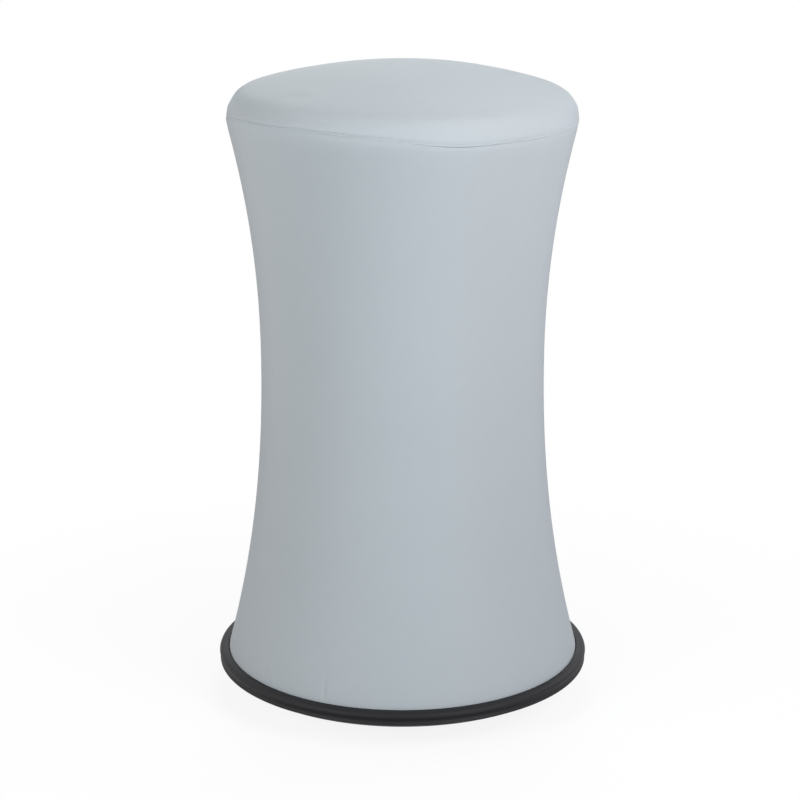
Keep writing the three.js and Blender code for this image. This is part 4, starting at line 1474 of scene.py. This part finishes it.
class STOOL_OT_stage(Operator):
    """Lays the floor, hangs the lights and sets up the camera"""
    bl_idname = "wobble_stool.stage"
    bl_label = "Set stage"

    # Name, degrees round from the front and above level, reach, height aimed at, width and tint
    lamps = [
        ("key", 45, 20, 1.15, 0.62, 0.7, (1, 0.94, 0.92)),
        ("low_key", 45, 0, 1.30, 0.62, 0.7, (0.80, 0.92, 1)),
        ("left", -45, 10, 1.40, 0.60, 0.7, (0.94, 1, 1)),
        ("left_edge", -85, 0, 1.30, 0.60, 0.7, (1, 0.74, 0.69)),
        ("right_rim", 130, 25, 1.90, 0.40, 1.0, (0.90, 0.88, 1)),
        ("back", 180, 40, 1.90, 0.50, 1.0, (0.87, 0.98, 1)),
    ]
    # Half the floor's side, the distance at which its shadow starts to fade, the distance over
    # which it does, and the least share of white in what is seen of it
    floor_reach = 30
    fade_start = 0.12
    fade_length = 0.5
    least_white = 0.88
    # The camera's place, degrees that it looks down, focal length and sensor's width
    eye = (-2.4 * MM, -2025 * MM, 856 * MM)
    pitch = 15.95
    focal_length = 101.746
    sensor = 36

    def execute(self, context):
        stage = context.scene.wobble_stool.stage
        self.floor(stage)
        self.world(context.scene, stage)
        for name, turn, rise, reach, level, width, tint in self.lamps:
            self.light(name, getattr(stage, name), turn, rise, reach, level, width, tint)
        self.camera(context.scene)
        context.scene.view_settings.view_transform = "Standard"
        return {"FINISHED"}

    def seen(self, graph):
        """1 for rays from the camera, and for those that mirror or pass through a piece."""
        rays = graph.node("ShaderNodeLightPath")
        return (
            rays.output("Is Camera Ray") + rays.output("Is Glossy Ray")
            + rays.output("Is Transmission Ray")
        ).clamped()

    def floor(self, stage):
        made = bpy.data.materials.new("floor")
        graph = emptied(made)
        distance = graph.node(
            "ShaderNodeVectorMath", {"operation": "LENGTH"}, {0: object_place(graph)}, "Value")
        far = ((distance - self.fade_start) / self.fade_length).clamped()
        white_share = far * (1 - self.least_white) + self.least_white
        paint = graph.node("ShaderNodeBsdfDiffuse", None, {"Color": opaque(stage.floor_colour)})
        pale = graph.node("ShaderNodeBsdfDiffuse", None, {"Color": (0.95, 0.95, 0.95, 1)})
        white = graph.node("ShaderNodeEmission", None, {"Color": (1, 1, 1, 1), "Strength": 1})
        shown = graph.node("ShaderNodeMixShader", None, {0: white_share, 1: pale, 2: white})
        mixed = graph.node("ShaderNodeMixShader", None, {0: self.seen(graph), 1: paint, 2: shown})
        graph.node("ShaderNodeOutputMaterial", None, {"Surface": mixed})
        mesh = bpy.data.meshes.new("floor")
        signs = [(-1, -1), (1, -1), (1, 1), (-1, 1)]
        corners = [(x * self.floor_reach, y * self.floor_reach, 0) for x, y in signs]
        mesh.from_pydata(corners, [], [(0, 1, 2, 3)])
        mesh.materials.append(made)
        link("floor", mesh)

    def world(self, scene, stage):
        world = bpy.data.worlds.new("studio")
        graph = emptied(world)
        strength = self.seen(graph) * (1 - stage.ambient) + stage.ambient
        sky = graph.node(
            "ShaderNodeBackground", None, {"Color": (1, 1, 1, 1), "Strength": strength})
        graph.node("ShaderNodeOutputWorld", None, {"Surface": sky})
        scene.world = world

    def light(self, name, power, turn, rise, reach, level, width, tint):
        """A round soft light that looks at the stool's axis from a given side and height."""
        turn = math.radians(turn)
        rise = math.radians(rise)
        back = Vector((
            math.sin(turn) * math.cos(rise), -math.cos(turn) * math.cos(rise), math.sin(rise)))
        lamp = bpy.data.lights.new(name, "AREA")
        lamp.shape = "DISK"
        lamp.size = width
        lamp.energy = power
        lamp.color = tint
        added = link(name, lamp)
        added.location = back * reach + Vector((0, 0, level))
        added.rotation_euler = (-back).to_track_quat("-Z", "Y").to_euler()

    def camera(self, scene):
        lens = bpy.data.cameras.new("camera")
        lens.sensor_width = self.sensor
        lens.lens = self.focal_length
        camera = link("camera", lens)
        camera.location = self.eye
        camera.rotation_euler = (math.radians(90 - self.pitch), 0, 0)
        scene.camera = camera


MAKERS = (
    STOOL_OT_drawcord, STOOL_OT_sleeve, STOOL_OT_seat_foam, STOOL_OT_seat_cover,
    STOOL_OT_seat_seam, STOOL_OT_tread_ring, STOOL_OT_sole_pad, STOOL_OT_rocker_shell,
    STOOL_OT_hardware, STOOL_OT_stage,
)


class STOOL_PT_panel(Panel):
    """Lists the stool's pieces and their settings"""
    bl_idname = "STOOL_PT_panel"
    bl_label = "Wobble stool"
    bl_space_type = "VIEW_3D"
    bl_region_type = "UI"
    bl_category = "Stool"

    def draw(self, context):
        stool = context.scene.wobble_stool
        for group in ("fabric", "seat", "seam", "base", "stage"):
            box = self.layout.box()
            box.label(text=group.capitalize())
            settings = getattr(stool, group)
            for name in settings.__annotations__:
                box.prop(settings, name)
        for maker in MAKERS:
            self.layout.operator(maker.bl_idname)


CLASSES = (
    FabricSettings, SeatSettings, SeamSettings, BaseSettings, StageSettings, StoolSettings,
    *MAKERS, STOOL_PT_panel,
)


def register():
    for each in CLASSES:
        bpy.utils.register_class(each)
    bpy.types.Scene.wobble_stool = PointerProperty(type=StoolSettings)


def unregister():
    del bpy.types.Scene.wobble_stool
    for each in reversed(CLASSES):
        bpy.utils.unregister_class(each)


def main():
    register()
    for maker in MAKERS:
        getattr(bpy.ops.wobble_stool, maker.bl_idname.split(".")[1])()


if __name__ == "__main__":
    main()
